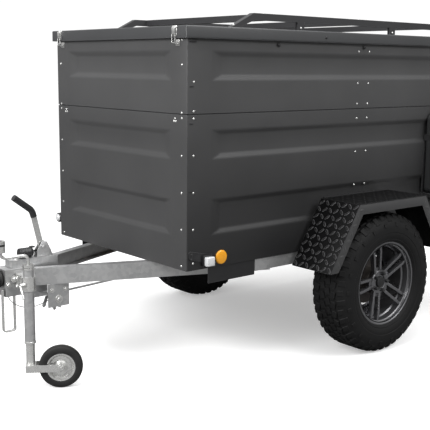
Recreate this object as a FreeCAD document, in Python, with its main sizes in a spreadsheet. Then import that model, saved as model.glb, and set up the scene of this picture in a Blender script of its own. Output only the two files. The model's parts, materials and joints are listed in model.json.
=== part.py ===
import FreeCAD, Part
import math
import os
import re

import Sketcher
from FreeCAD import Placement, Rotation, Units, Vector

# An off-road box trailer.  +X points forwards to the coupling, +Y to the left, +Z up.
# The origin is on the ground, midway along and across the whole trailer.  All sizes are in mm.
# Places along the trailer are measured from the box's front wall, "front".

BOX_SIZES = {
    "box_length": 2350,
    "box_width": 1120,
    "box_foot": 542,
    "seam_height": 1254,
    "seam_gap": 2,
    "sheet": 2.5,
    "panel_fold": 20,
    "post_leg": 55,
    "rib_depth": 12,
    "rib_slope_up": 24,
    "rib_slope_down": 40,
    "floor_thickness": 15,
}
LID_SIZES = {
    "lid_top": 1641,
    "lid_skirt": 54,
    "lid_sheet": 3,
    "lid_overhang": 18,
    "seat_gap": 0.3,
    "latch_width": 28,
    "latch_height": 88,
    "latch_depth": 12,
    "latch_inset": 52,
}
RACK_SIZES = {
    "rack_top": 1715,
    "rail_depth": 32,
    "rail_width": 30,
    "rail_inset": 60,
    "rail_front_setback": 446,
    "rail_front_foot": 297,
    "rack_middle": 1174,
    "bar_pitch": 622,
    "bar_width": 60,
    "bar_depth": 30,
    "bar_wall": 2.5,
    "post_width": 48,
    "front_post_setback": 763,
    "rear_post_setback": 1475,
}
GATE_SIZES = {
    "gate_gap": 5,
    "gate_foot": 547,
    "pin_radius": 4,
    "pin_clearance": 0.05,
    "knuckle_radius": 7,
    "knuckle_length": 50,
    "lug_thickness": 6,
    "lug_side_gap": 0.3,
    "lug_drop": 40,
    "hinge_spread": 350,
    "gate_hinge_setback": 12,
    "gate_hinge_height": 550,
    "lid_hinge_setback": 30,
    "lid_hinge_height": 1600,
}
CHASSIS_SIZES = {
    "rail_height": 60,
    "chassis_rail_width": 40,
    "tube_wall": 3,
    "chassis_rail_inset": 5,
    "chassis_rail_start": 430,
    "middle_member_setback": 1700,
    "beam_height": 80,
    "beam_width": 40,
    "beam_wall": 4,
    "beam_top": 540,
    "beam_half_gap": 278,
    "beam_taper": 0.404,
    "beam_front": 500,
    "beam_back": 575,
    "skirt_start": 134,
    "skirt_end": 427,
    "skirt_foot": 466,
    "skirt_sheet": 4,
    "light_bar_foot": 432,
    "light_bar_height": 72,
    "light_bar_depth": 12,
    "lamp_length": 200,
    "lamp_depth": 35,
    "lamp_height": 64,
    "marker_setback": 116,
    "marker_height": 582,
    "marker_size": 52,
    "marker_reach": 42,
}
WHEEL_SIZES = {
    "axle_setback": 1115,
    "wheel_radius": 366,
    "tyre_width": 235,
    "wheel_reach": 280,
    "rim_radius": 203,
    "flange_radius": 220,
    "disc_offset": 22,
    "disc_thickness": 16,
    "spindle_radius": 17.5,
    "drum_radius": 130,
    "drum_back_gap": 8,
    "drum_depth": 78,
    "hub_radius": 68,
    "arm_reach": 130,
    "axle_tube": 60,
    "axle_tube_foot": 415,
    "arm_thickness": 30,
    "arm_inset": 15,
    "fender_gap": 76,
    "fender_drop": 120,
    "fender_taper": 100,
    "fender_sheet": 4,
    "fender_lip": 55,
    "fender_start": 30,
    "fender_reach": 290,
    "bracket_half": 200,
    "bracket_leg": 80,
    "bracket_drop": 44,
    "spoke_window_count": 5,
    "bead_inset": 22,
    "bead_rise": 6,
    "bead_side": 14,
    "side_drop": 90,
    "shoulder_drop": 45,
    "shoulder_inset": 1,
    "tread_edge_drop": 14,
    "tread_edge_inset": 12,
    "tread_inset": 34,
    "tread_depth": 26,
    "inner_tread_inset": 40,
    "inner_shoulder_drop": 50,
    "inner_shoulder_inset": 18,
    "casing": 12,
    "inner_bead_rise": 10,
    "inner_bead_inset": 28,
    "bead_base": 22,
    "barrel_wall": 8,
    "flange_width": 7,
    "rim_lip": 14,
    "rim_well": 20,
    "dish_rise": 20,
    "hub_rise": 14,
    "window_hub_gap": 12,
    "window_hub_half": 12,
    "window_rim_gap": 30,
    "window_rim_half": 44,
}
NOSE_SIZES = {
    "nose_end": 640,
    "nose_half": 48,
    "nose_foot": 455,
    "nose_height": 90,
    "channel_start": 430,
    "channel_foot": 420,
    "housing_start": 360,
    "housing_end": 600,
    "housing_half": 30,
    "housing_top": 580,
    "shaft_height": 500,
    "shaft_radius": 24,
    "gaiter_radius": 42,
    "gaiter_folds": 6,
    "gaiter_end": 775,
    "coupling_length": 150,
    "coupling_half": 32,
    "coupling_height": 60,
    "ball_setback": 955,
    "ball_radius": 25.3,
    "cup_radius": 42,
    "cup_foot": 440,
    "cup_height": 95,
    "socket_depth": 45,
    "handle_width": 30,
    "handle_length": 170,
    "handle_thickness": 14,
    "lever_setback": 425,
    "lever_side": 12,
    "lever_bar": 26,
    "lever_thickness": 10,
    "lever_lean": 45,
    "lever_height": 190,
    "grip_radius": 15,
    "grip_rise": 68,
    "grip_reach": 100,
    "link_start": 345,
    "link_length": 110,
    "link_drop": 110,
    "link_plate": 6,
    "link_side": 100,
    "link_bolt_radius": 7,
    "link_bolt_height": 385,
    "rod_radius": 5,
    "rod_back_height": 445,
}
JOCKEY_SIZES = {
    "jockey_setback": 573,
    "jockey_side": 141,
    "outer_tube_radius": 24,
    "outer_tube_wall": 3.6,
    "outer_tube_foot": 214,
    "outer_tube_top": 569,
    "tube_clearance": 0.3,
    "inner_tube_foot": 186,
    "inner_tube_top": 470,
    "clamp_foot": 462,
    "clamp_height": 64,
    "clamp_wall": 8,
    "clamp_arm": 40,
    "crank_cap": 11,
    "crank_rise": 56,
    "crank_radius": 7,
    "crank_reach": 134,
    "knob_radius": 22,
    "knob_height": 52,
    "fork_heading": 148,
    "fork_trail": 136,
    "fork_arm": 34,
    "fork_width": 68,
    "fork_plate": 4,
    "fork_back": 22,
    "fork_front": 24,
    "fork_toe": 16,
    "fork_bolt_ends": 8,
    "jockey_wheel_radius": 100,
    "jockey_bead_inset": 3,
    "jockey_side_drop": 14,
    "jockey_edge_drop": 4,
    "jockey_edge_inset": 6,
    "jockey_tread_inset": 15,
    "jockey_hub_ends": 2,
    "jockey_hub_radius": 18,
    "jockey_dish_radius": 24,
    "jockey_disc_half": 8,
    "jockey_well": 10,
    "jockey_rim_wall": 6,
    "jockey_wheel_width": 50,
    "jockey_rim_radius": 62,
    "jockey_axle_radius": 6,
}
LOAD_SIZES = {
    "can_setback": 1733,
    "can_length": 345,
    "can_width": 165,
    "can_height": 465,
    "can_foot": 760,
    "can_corner": 35,
    "can_wall": 2.5,
    "can_cap_radius": 27,
    "can_neck_radius": 22,
    "can_cap_height": 20,
    "can_cap_setback": 70,
    "holder_sheet": 5.5,
    "holder_margin": 10,
    "holder_lip": 40,
    "plug_radius": 22,
    "plug_length": 75,
    "plug_setback": 470,
    "lead_radius": 4,
    "cable_radius": 2,
}
SIZES = {}
for group in (BOX_SIZES, LID_SIZES, RACK_SIZES, GATE_SIZES, CHASSIS_SIZES,
              WHEEL_SIZES, NOSE_SIZES, JOCKEY_SIZES, LOAD_SIZES):
    SIZES.update(group)

# Lengths that follow from the driving sizes, by name.
DERIVED = {
    "rear_reach": "light_bar_depth + lamp_depth",
    "nose_reach": "ball_setback + cup_radius",
    "front": "(box_length + rear_reach - nose_reach) / 2",
    "rear": "front - box_length",
    "half": "box_width / 2",
    "wall_top": "lid_top - lid_sheet - seat_gap",
    "post_inner": "half - post_leg",
    "middle": "front - box_length / 2",
    "axle": "front - axle_setback",
    "frame_foot": "box_foot - rail_height",
    "rail_outer": "half - chassis_rail_inset",
    "rail_inner": "rail_outer - chassis_rail_width",
    "beam_foot": "beam_top - beam_height",
    "tyre_outer": "half + wheel_reach",
    "tyre_middle": "tyre_outer - tyre_width / 2",
    "disc_face": "tyre_middle + disc_offset",
    "arm_start": "half - arm_inset",
    "fender_top": "2 * wheel_radius + fender_gap",
    "fender_foot": "wheel_radius + fender_drop",
    "fender_top_half": "wheel_radius - fender_taper",
    "fender_foot_half": "wheel_radius + fender_taper",
    "arm_end": "arm_start + arm_thickness",
    "drum_back": "tyre_outer - tyre_width + drum_back_gap",
    "fender_inner": "half + fender_start",
    "fender_outer": "half + fender_reach",
    "lid_edge": "half + lid_overhang",
    "rack_rail_outer": "half - rail_inset",
    "rack_rail_inner": "rack_rail_outer - rail_width",
    "rack_rail_foot": "rack_top - rail_depth",
    "jockey_x": "front + jockey_setback",
    "outer_tube_bore": "outer_tube_radius - outer_tube_wall",
    "inner_tube_radius": "outer_tube_bore - tube_clearance",
}

WORD = re.compile(r"[a-z]\w*")


def cells(text):
    """Write an expression's named sizes as cells of the sheet."""
    def cell(match):
        word = match.group(0)
        if word in DERIVED:
            return "(" + cells(DERIVED[word]) + ")"
        return "Sizes." + word if word in SIZES else word
    return WORD.sub(cell, str(text))


def number(text):
    """Work out an expression's value in mm."""
    def value(match):
        word = match.group(0)
        if word in DERIVED:
            return "(" + repr(number(DERIVED[word])) + ")"
        return "(" + str(SIZES[word]) + ")"
    return Units.Quantity(WORD.sub(value, str(text))).Value


doc = FreeCAD.newDocument("BoxTrailer")
sheet = doc.addObject("Spreadsheet::Sheet", "Sizes")
for row, (alias, size) in enumerate(SIZES.items(), 1):
    sheet.set(f"A{row}", alias.replace("_", " "))
    sheet.set(f"B{row}", str(size))
    sheet.setAlias(f"B{row}", alias)
doc.recompute()

nodes = {}


def keep(node, shape_object):
    """Name a finished sub-part."""
    shape_object.Label = node
    nodes[node] = shape_object
    return shape_object


def place(shape_object, x="0", y="0", z="0", rotation=None):
    """Put an object at a place given by expressions."""
    if rotation is not None:
        shape_object.Placement = Placement(Vector(), rotation)
    for axis, text in zip("xyz", (x, y, z)):
        shape_object.setExpression(f"Placement.Base.{axis}", cells(text))
    return shape_object


def block(name, x_span, y_span, z_span):
    """A box between two places on each axis."""
    box = doc.addObject("Part::Box", name)
    spans = (x_span, y_span, z_span)
    for prop, (low, high) in zip(("Length", "Width", "Height"), spans):
        box.setExpression(prop, cells(f"({high}) - ({low})"))
    return place(box, *(low for low, high in spans))


TURNS = {
    "x": Rotation(Vector(0, 1, 0), 90),
    "y": Rotation(Vector(1, 0, 0), -90),
    "z": Rotation(),
}


def rod(name, radius, length, start, along="z"):
    """A cylinder from a start point along one axis."""
    cylinder = doc.addObject("Part::Cylinder", name)
    cylinder.setExpression("Radius", cells(radius))
    cylinder.setExpression("Height", cells(length))
    return place(cylinder, *start, rotation=TURNS[along])


def cut(name, base, tool):
    result = doc.addObject("Part::Cut", name)
    result.Base, result.Tool = base, tool
    return result


def fuse(name, *pieces):
    result = doc.addObject("Part::MultiFuse", name)
    result.Shapes = list(pieces)
    return result


def mirror(name, source):
    """The same piece on the trailer's other side."""
    result = doc.addObject("Part::Mirroring", name)
    result.Source = source
    result.Base, result.Normal = Vector(), Vector(0, 1, 0)
    return result


def group_of(name, *pieces):
    """Like pieces that share one node without touching."""
    result = doc.addObject("Part::Compound", name)
    result.Links = list(pieces)
    return result


def pair(name, source):
    return group_of(name, source, mirror(name + "_right", source))


def outline(body, plane_role, points):
    """A closed outline in one of a body's own planes, each corner tied to its sizes."""
    sketch = body.newObject("Sketcher::SketchObject", body.Name + "_outline")
    plane = next(f for f in body.Origin.OriginFeatures if f.Role == plane_role)
    sketch.AttachmentSupport = (plane, [""])
    sketch.MapMode = "FlatFace"
    places = [Vector(number(u), number(v), 0) for u, v in points]
    count = len(points)
    for index in range(count):
        sketch.addGeometry(Part.LineSegment(places[index], places[(index + 1) % count]), False)
    for index in range(count):
        sketch.addConstraint(Sketcher.Constraint("Coincident", index, 2, (index + 1) % count, 1))
    for index, (corner, spot) in enumerate(zip(points, places)):
        for kind, text, value in (("DistanceX", corner[0], spot.x), ("DistanceY", corner[1], spot.y)):
            which = sketch.addConstraint(Sketcher.Constraint(kind, -1, 1, index, 1, value))
            title = f"{kind}{index}"
            sketch.renameConstraint(which, title)
            sketch.setExpression(f"Constraints.{title}", cells(text))
    return sketch


def padded(name, plane_role, points, length):
    """A body padded evenly to both sides of one of its planes."""
    body = doc.addObject("PartDesign::Body", name)
    sketch = outline(body, plane_role, points)
    pad = body.newObject("PartDesign::Pad", name + "_pad")
    pad.Profile = sketch
    pad.SideType = "Symmetric"
    pad.setExpression("Length", cells(length))
    return body


def turned(name, points):
    """A body turned about its own Z axis from an outline of (radius, height) corners."""
    body = doc.addObject("PartDesign::Body", name)
    sketch = outline(body, "XZ_Plane", points)
    turn = body.newObject("PartDesign::Revolution", name + "_turn")
    turn.Profile = sketch
    turn.ReferenceAxis = (sketch, ["V_Axis"])
    turn.Angle = 360
    return body


# ---------------------------------------------------------------- the box

LOWER_RIBS = (("697", "862"), ("1049", "1180"))
UPPER_RIBS = (("1405", "1532"),)


def ribbed_sheet(name, low, high, length, ribs):
    """A wall sheet with pressed ribs and its top and foot folded inwards.

    Its outer face is the body's YZ plane, and it is as deep as the fold along +X."""
    face = [("0", low)]
    for rib_low, rib_high in ribs:
        face += [
            ("0", rib_low),
            ("rib_depth", f"{rib_low} + rib_slope_down"),
            ("rib_depth", f"{rib_high} - rib_slope_up"),
            ("0", rib_high),
        ]
    face.append(("0", high))
    back = [(f"{u} + sheet", v) for u, v in face[1:-1]]
    corners = face + [
        ("panel_fold", high),
        ("panel_fold", f"{high} - sheet"),
        ("sheet", f"{high} - sheet"),
        *reversed(back),
        ("sheet", f"{low} + sheet"),
        ("panel_fold", f"{low} + sheet"),
        ("panel_fold", low),
    ]
    return padded(name, "XZ_Plane", corners, length)


def walls():
    across = "2 * post_inner"
    along = "box_length - 2 * post_leg"
    levels = (
        ("lower", "box_foot", "seam_height - seam_gap / 2", LOWER_RIBS),
        ("upper", "seam_height + seam_gap / 2", "wall_top", UPPER_RIBS),
    )
    sides = (
        ("front", across, ("front", "0"), 180),
        ("left", along, ("middle", "half"), -90),
        ("right", along, ("middle", "-half"), 90),
        ("rear", across, ("rear", "0"), 0),
    )
    for level, low, high, ribs in levels:
        for side, length, (x, y), angle in sides:
            if (side, level) == ("rear", "lower"):
                continue
            node = f"{side}_wall_{level}"
            sheet_body = ribbed_sheet(node, low, high, length, ribs)
            keep(node, place(sheet_body, x, y, "0", Rotation(Vector(0, 0, 1), angle)))


def corner_posts():
    """Four angle posts that stand the full height of the box."""
    posts = []
    for end, inward in (("front", -1), ("rear", 1)):
        angle_corners = [
            (end, "half"),
            (f"{end} + {inward} * post_leg", "half"),
            (f"{end} + {inward} * post_leg", "half - sheet"),
            (f"{end} + {inward} * sheet", "half - sheet"),
            (f"{end} + {inward} * sheet", "post_inner"),
            (end, "post_inner"),
        ]
        post = padded(f"post_{end}", "XY_Plane", angle_corners, "wall_top - box_foot")
        place(post, z="(wall_top + box_foot) / 2")
        posts += [post, mirror(f"post_{end}_right", post)]
    keep("corner_posts", group_of("corner_posts", *posts))


def floor_panel():
    inner = "half - panel_fold"
    keep("floor_panel", block(
        "floor_panel",
        ("rear + panel_fold + 2 * gate_gap", "front - panel_fold"),
        (f"-({inner})", inner),
        ("box_foot", "box_foot + floor_thickness")))


def hinge(name, x, z, knuckle_side, y_mid):
    """One hinge: the lugs with their pin, and the bored knuckle between them.

    The lugs hang below the pin and reach forwards to the box.  knuckle_side is how far
    forwards the knuckle's leaf reaches."""
    start = f"{y_mid} - knuckle_length / 2"
    end = f"{y_mid} + knuckle_length / 2"
    knuckle = rod(name + "_knuckle", "knuckle_radius", "knuckle_length", (x, start, z), "y")
    leaf = block(name + "_leaf", (x, f"{x} + {knuckle_side}"), (start, end),
                 (f"{z} - knuckle_radius", f"{z} + knuckle_radius"))
    bore = rod(name + "_bore", "pin_radius + pin_clearance", "knuckle_length", (x, start, z), "y")
    moving = cut(name + "_moving", fuse(name + "_blank", knuckle, leaf), bore)
    lug_out = "lug_side_gap + lug_thickness"
    fixed = [rod(name + "_pin", "pin_radius", f"knuckle_length + 2 * ({lug_out})",
                 (x, f"{start} - ({lug_out})", z), "y")]
    for tag, low in (("a", f"{start} - ({lug_out})"), ("b", f"{end} + lug_side_gap")):
        y_span = (low, f"{low} + lug_thickness")
        fixed.append(rod(f"{name}_eye_{tag}", "knuckle_radius", "lug_thickness", (x, low, z), "y"))
        fixed.append(block(f"{name}_stem_{tag}",
                           (f"{x} - knuckle_radius", f"{x} + knuckle_radius"), y_span,
                           (f"{z} - lug_drop", z)))
        fixed.append(block(f"{name}_foot_{tag}", (f"{x} - knuckle_radius", "rear"), y_span,
                           (f"{z} - lug_drop", f"{z} - lug_drop / 2")))
    return fuse(name + "_fixed", *fixed), moving


def hinge_pair(name, x, z, leaf_reach):
    """A hinge at each side: the fixed node and the two moving knuckles."""
    fixed, moving = hinge(name, x, z, leaf_reach, "hinge_spread")
    keep(name + "s", pair(name + "s", fixed))
    return moving, mirror(name + "_moving_right", moving)


def tailgate():
    low, high = "gate_foot", "seam_height - seam_gap / 2 - gate_gap"
    panel = ribbed_sheet("gate_panel", low, high, "2 * (post_inner - gate_gap)", LOWER_RIBS)
    place(panel, "rear", rotation=Rotation())
    knuckles = hinge_pair("tailgate_hinge", "rear - gate_hinge_setback", "gate_hinge_height",
                          "gate_hinge_setback")
    keep("tailgate", fuse("tailgate", panel, *knuckles))


def lid():
    edge_front, edge_rear = "front + lid_overhang", "rear - lid_overhang"
    shell = block("lid_shell", (edge_rear, edge_front), ("-(lid_edge)", "lid_edge"),
                  ("lid_top - lid_skirt", "lid_top"))
    hollow = block("lid_hollow", (f"{edge_rear} + lid_sheet", f"{edge_front} - lid_sheet"),
                   ("-(lid_edge) + lid_sheet", "lid_edge - lid_sheet"),
                   ("lid_top - lid_skirt - 1", "lid_top - lid_sheet"))
    tray = cut("lid_tray", shell, hollow)
    knuckles = hinge_pair("lid_hinge", "rear - lid_hinge_setback", "lid_hinge_height",
                          "lid_hinge_setback - lid_overhang")
    keep("lid", fuse("lid", tray, *knuckles))
    latch = block("latch", (edge_front, f"{edge_front} + latch_depth"),
                  ("half - latch_inset - latch_width", "half - latch_inset"),
                  ("lid_top - latch_height", "lid_top"))
    keep("lid_latches", pair("lid_latches", latch))


def roof_rack():
    front_top, rear_top = "front - rail_front_setback", "rear + rail_front_setback"
    front_foot, rear_foot = "front - rail_front_foot", "rear + rail_front_foot"
    band = "1.4 * rail_depth"
    corners = [
        (front_foot, "lid_top"),
        (front_top, "rack_top"),
        (rear_top, "rack_top"),
        (rear_foot, "lid_top"),
        (f"{rear_foot} + {band}", "lid_top"),
        (f"{rear_top} + 0.3 * rail_depth", "rack_rail_foot"),
        (f"{front_top} - 0.3 * rail_depth", "rack_rail_foot"),
        (f"{front_foot} - {band}", "lid_top"),
    ]
    rail = place(padded("rack_rail", "XZ_Plane", corners, "rail_width"),
                 y="rack_rail_outer - rail_width / 2", rotation=Rotation())
    pieces = [rail]
    for tag, setback in (("front", "front_post_setback"), ("rear", "rear_post_setback")):
        x = f"front - {setback}"
        pieces.append(block(f"rack_post_{tag}", (f"{x} - post_width / 2", f"{x} + post_width / 2"),
                            ("rack_rail_inner + rail_width / 2", "rack_rail_outer"),
                            ("lid_top", "rack_rail_foot + rail_depth / 4")))
    keep("roof_rails", pair("roof_rails", fuse("rack_side", *pieces)))
    bars = []
    for tag, steps in (("front", 1), ("middle", 0), ("rear", -1)):
        x = f"front - rack_middle + {steps} * bar_pitch"
        y_span = ("-(rack_rail_inner)", "rack_rail_inner")
        outer = block(f"bar_{tag}", (f"{x} - bar_width / 2", f"{x} + bar_width / 2"), y_span,
                      ("rack_top - bar_depth", "rack_top"))
        inner = block(f"bar_{tag}_hollow",
                      (f"{x} - bar_width / 2 + bar_wall", f"{x} + bar_width / 2 - bar_wall"), y_span,
                      ("rack_top - bar_depth + bar_wall", "rack_top - bar_wall"))
        bars.append(cut(f"crossbar_{tag}", outer, inner))
    keep("crossbars", group_of("crossbars", *bars))


# ---------------------------------------------------------------- the chassis

def square_tube(name, x_span, y_span, z_span, open_along):
    """A tube of the chassis' wall, open at its ends along one axis."""
    outer = block(name + "_outer", x_span, y_span, z_span)
    spans = []
    for axis, (low, high) in zip("xyz", (x_span, y_span, z_span)):
        spans.append((low, high) if axis == open_along
                     else (f"{low} + tube_wall", f"{high} - tube_wall"))
    return cut(name, outer, block(name + "_hollow", *spans))


def chassis():
    z_span = ("frame_foot", "box_foot")
    rail = square_tube("chassis_rail", ("rear", "front - chassis_rail_start"),
                       ("rail_inner", "rail_outer"), z_span, "x")
    keep("chassis_rails", pair("chassis_rails", rail))
    members = []
    for tag, x in (("front", "front - beam_back - rail_height"),
                   ("middle", "front - middle_member_setback"),
                   ("rear", "rear")):
        width = "rail_height" if tag == "front" else "chassis_rail_width"
        members.append(square_tube(f"member_{tag}", (x, f"{x} + {width}"),
                                   ("-(rail_inner)", "rail_inner"), z_span, "y"))
    keep("crossmembers", group_of("crossmembers", *members))
    skirt = block("skirt_plate", ("front - skirt_end", "front - skirt_start"),
                  ("rail_outer - skirt_sheet", "rail_outer"), ("skirt_foot", "box_foot"))
    keep("skirt_plates", pair("skirt_plates", skirt))


def drawbar():
    """Two channel beams that run in from the chassis rails to the nose."""
    corners = [
        ("0", "beam_foot"),
        ("-beam_width", "beam_foot"),
        ("-beam_width", "beam_foot + beam_wall"),
        ("-beam_wall", "beam_foot + beam_wall"),
        ("-beam_wall", "beam_top - beam_wall"),
        ("-beam_width", "beam_top - beam_wall"),
        ("-beam_width", "beam_top"),
        ("0", "beam_top"),
    ]
    beam = padded("beam", "YZ_Plane", corners, "3 * (beam_front + beam_back)")
    place(beam, "front", "beam_half_gap", "0", Rotation(Vector(0, 0, 1), -1))
    beam.setExpression("Placement.Rotation.Angle", cells("atan(beam_taper)"))
    beam.setExpression("Placement.Rotation.Axis.z", "-1")
    stretch = block("beam_stretch", ("front - beam_back", "front + beam_front"),
                    ("0", "rail_inner"), ("beam_foot - 1", "beam_top + 1"))
    left = doc.addObject("Part::Common", "drawbar_left")
    left.Base, left.Tool = beam, stretch
    keep("drawbar_left", left)
    keep("drawbar_right", mirror("drawbar_right", left))


def drawbar_nose():
    """The wedge that closes the beams, the channel under it and the overrun housing."""
    start = "front + beam_front"
    side = "beam_half_gap - beam_front * beam_taper"
    shoulder = f"{start} + {side} - nose_half"
    corners = [
        (start, side),
        (shoulder, "nose_half"),
        ("front + nose_end", "nose_half"),
        ("front + nose_end", "-nose_half"),
        (shoulder, "-nose_half"),
        (start, f"-({side})"),
    ]
    wedge = place(padded("nose_wedge", "XY_Plane", corners, "nose_height"),
                  z="nose_foot + nose_height / 2", rotation=Rotation())
    channel = block("nose_channel", ("front + channel_start", "front + nose_end"),
                    ("-nose_half", "nose_half"), ("channel_foot", "nose_foot"))
    keep("drawbar_nose", fuse("drawbar_nose", wedge, channel))
    top = "nose_foot + nose_height"
    rear_half = block("housing_rear", ("front + housing_start", start),
                      ("-housing_half", "housing_half"), ("nose_foot", "housing_top"))
    front_half = block("housing_front", (start, "front + housing_end"),
                       ("-housing_half", "housing_half"), (top, "housing_top"))
    keep("overrun_housing", fuse("overrun_housing", rear_half, front_half))


def coupling():
    shaft = rod("coupling_shaft", "shaft_radius", "gaiter_end - nose_end",
                ("front + nose_end", "0", "shaft_height"), "x")
    neck_end = "front + gaiter_end + coupling_length"
    neck = block("coupling_neck", ("front + gaiter_end", neck_end),
                 ("-coupling_half", "coupling_half"),
                 ("shaft_height - coupling_height / 2", "shaft_height + coupling_height / 2"))
    cup = rod("coupling_cup", "cup_radius", "cup_height", ("front + ball_setback", "0", "cup_foot"))
    socket = rod("coupling_socket", "ball_radius", "socket_depth",
                 ("front + ball_setback", "0", "cup_foot"))
    keep("coupling_head", cut("coupling_head", fuse("coupling_blank", shaft, neck, cup), socket))
    handle = block("coupling_handle",
                   ("front + ball_setback + cup_radius / 2 - handle_length",
                    "front + ball_setback + cup_radius / 2"),
                   ("-handle_width / 2", "handle_width / 2"),
                   ("cup_foot + cup_height", "cup_foot + cup_height + handle_thickness"))
    keep("coupling_handle", handle)
    folds = int(SIZES["gaiter_folds"])
    inner, root, crest = "shaft_radius + tube_clearance", "gaiter_radius - 8", "gaiter_radius"
    corners = [(inner, "0"), (root, "0")]
    for fold in range(folds):
        step = f"(gaiter_end - nose_end) / {folds}"
        corners.append((crest, f"({fold} + 0.5) * {step}"))
        corners.append((root, f"({fold} + 1) * {step}"))
    corners.append((inner, "gaiter_end - nose_end"))
    keep("gaiter", place(turned("gaiter", corners), "front + nose_end", "0", "shaft_height",
                         TURNS["x"]))


def handbrake():
    foot = "housing_top"
    corners = [
        ("-lever_bar / 2", "0"),
        ("lever_bar / 2", "0"),
        ("lever_bar / 2 + lever_lean", "lever_height"),
        ("-lever_bar / 2 + lever_lean", "lever_height"),
    ]
    keep("handbrake_lever", place(padded("handbrake_lever", "XZ_Plane", corners, "lever_thickness"),
                                  "front + lever_setback", "lever_side", foot, Rotation()))
    top = Vector(number("front + lever_setback + lever_lean"), number("lever_side"),
                 number("housing_top + lever_height"))
    bend = top + Vector(number("lever_lean / 5"), 0, number("0.45 * grip_rise"))
    end = top + Vector(number("grip_reach"), 0, number("grip_rise + 0.45 * grip_rise"))
    keep("handbrake_grip", tube_along("handbrake_grip", [top, bend, end], number("grip_radius")))


def tube_along(name, points, radius):
    """A round tube on straight runs joined by tangent arcs at the points between."""
    edges, here = [], points[0]
    for before, corner, after in zip(points, points[1:], points[2:]):
        into, out = corner - before, after - corner
        half_turn = into.getAngle(out) / 2
        reach = 0.45 * min(into.Length, out.Length)
        into.normalize()
        out.normalize()
        arc_start, arc_end = corner - into * reach, corner + out * reach
        bend_radius = reach / math.tan(half_turn)
        to_centre = out - into
        to_centre.normalize()
        centre = corner + to_centre * (bend_radius / math.cos(half_turn))
        towards = corner - centre
        towards.normalize()
        edges.append(Part.LineSegment(here, arc_start).toShape())
        edges.append(Part.Arc(arc_start, centre + towards * bend_radius, arc_end).toShape())
        here = arc_end
        print(f"{name}: bend radius {bend_radius:.1f} mm, {bend_radius / (2 * radius):.1f} diameters")
    edges.append(Part.LineSegment(here, points[-1]).toShape())
    spine = Part.Wire(edges)
    ring = Part.Wire([Part.makeCircle(radius, points[0], points[1] - points[0])])
    solid = spine.makePipeShell([ring], True, False)
    drift = solid.Volume / (math.pi * radius ** 2 * spine.Length) - 1
    if abs(drift) > 0.01:
        raise ValueError(f"{name}: the tube's volume is off by {drift:.1%}")
    feature = doc.addObject("Part::Feature", name)
    feature.Shape = solid
    feature.Placement = Placement()
    return feature


def brake_linkage():
    z_span = ("beam_foot - link_drop", "beam_foot")
    plates = []
    for tag, y in (("left", "link_side"), ("right", "-link_side - link_plate")):
        plates.append(block(f"link_{tag}", ("front + link_start", "front + link_start + link_length"),
                            (y, f"{y} + link_plate"), z_span))
    bolt = rod("link_bolt", "link_bolt_radius", "2 * (link_side + 3 * link_plate)",
               ("front + link_start + link_length / 2", "-link_side - 3 * link_plate",
                "link_bolt_height"), "y")
    keep("linkage_plates", fuse("linkage_plates", *plates, bolt))
    start = Vector(number("front + link_start + link_length / 2 - link_bolt_radius"), 0,
                   number("link_bolt_height"))
    end = Vector(number("axle + arm_reach + axle_tube / 2 + seat_gap"), 0,
                 number("rod_back_height"))
    keep("brake_rod", tube_along("brake_rod", [start, end], number("rod_radius")))


# ---------------------------------------------------------------- axle, wheels and fenders

def axle_beam():
    x = "axle + arm_reach"
    beam = square_tube("axle_tube_piece", (f"{x} - axle_tube / 2", f"{x} + axle_tube / 2"),
                       ("-arm_start", "arm_start"),
                       ("axle_tube_foot", "axle_tube_foot + axle_tube"), "y")
    pads = block("axle_pad", (f"{x} - axle_tube", f"{x} + axle_tube"), ("rail_inner", "rail_outer"),
                 ("axle_tube_foot + axle_tube", "frame_foot"))
    keep("axle_beam", fuse("axle_beam", beam, pads, mirror("axle_pad_right", pads)))
    boss = "axle_tube / 2"
    tube_middle = "axle_tube_foot + axle_tube / 2 - wheel_radius"
    corners = [
        (f"-{boss}", f"-{boss}"),
        (boss, f"-{boss}"),
        (f"arm_reach + {boss}", f"{tube_middle} - {boss}"),
        (f"arm_reach + {boss}", f"{tube_middle} + {boss}"),
        (f"arm_reach - {boss}", f"{tube_middle} + {boss}"),
        (f"-{boss}", boss),
    ]
    arm = place(padded("arm", "XZ_Plane", corners, "arm_thickness"),
                "axle", "arm_start + arm_thickness / 2", "wheel_radius", Rotation())
    spindle = rod("spindle", "spindle_radius", "disc_face - 2 - arm_end",
                  ("axle", "arm_end", "wheel_radius"), "y")
    keep("swing_arms", pair("swing_arms", fuse("swing_arm", arm, spindle)))


def flipped(corners):
    """The same corners on the wheel's inner side."""
    return [(radius, f"-({side})") for radius, side in reversed(corners)]


def tyre_body():
    edge = "tyre_width / 2"
    outer = [
        ("rim_radius", f"{edge} - bead_inset"),
        ("flange_radius", f"{edge} - bead_inset"),
        ("flange_radius + bead_rise", f"{edge} - bead_side"),
        ("wheel_radius - side_drop", edge),
        ("wheel_radius - shoulder_drop", f"{edge} - shoulder_inset"),
        ("wheel_radius - tread_edge_drop", f"{edge} - tread_edge_inset"),
        ("wheel_radius", f"{edge} - tread_inset"),
    ]
    inner = [
        ("wheel_radius - tread_depth", f"{edge} - inner_tread_inset"),
        ("wheel_radius - inner_shoulder_drop", f"{edge} - inner_shoulder_inset"),
        ("wheel_radius - side_drop", f"{edge} - casing"),
        ("flange_radius + inner_bead_rise", f"{edge} - inner_bead_inset"),
        ("rim_radius", f"{edge} - bead_inset - bead_base"),
    ]
    return turned("tyre", outer + flipped(outer) + flipped(inner) + inner)


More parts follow.
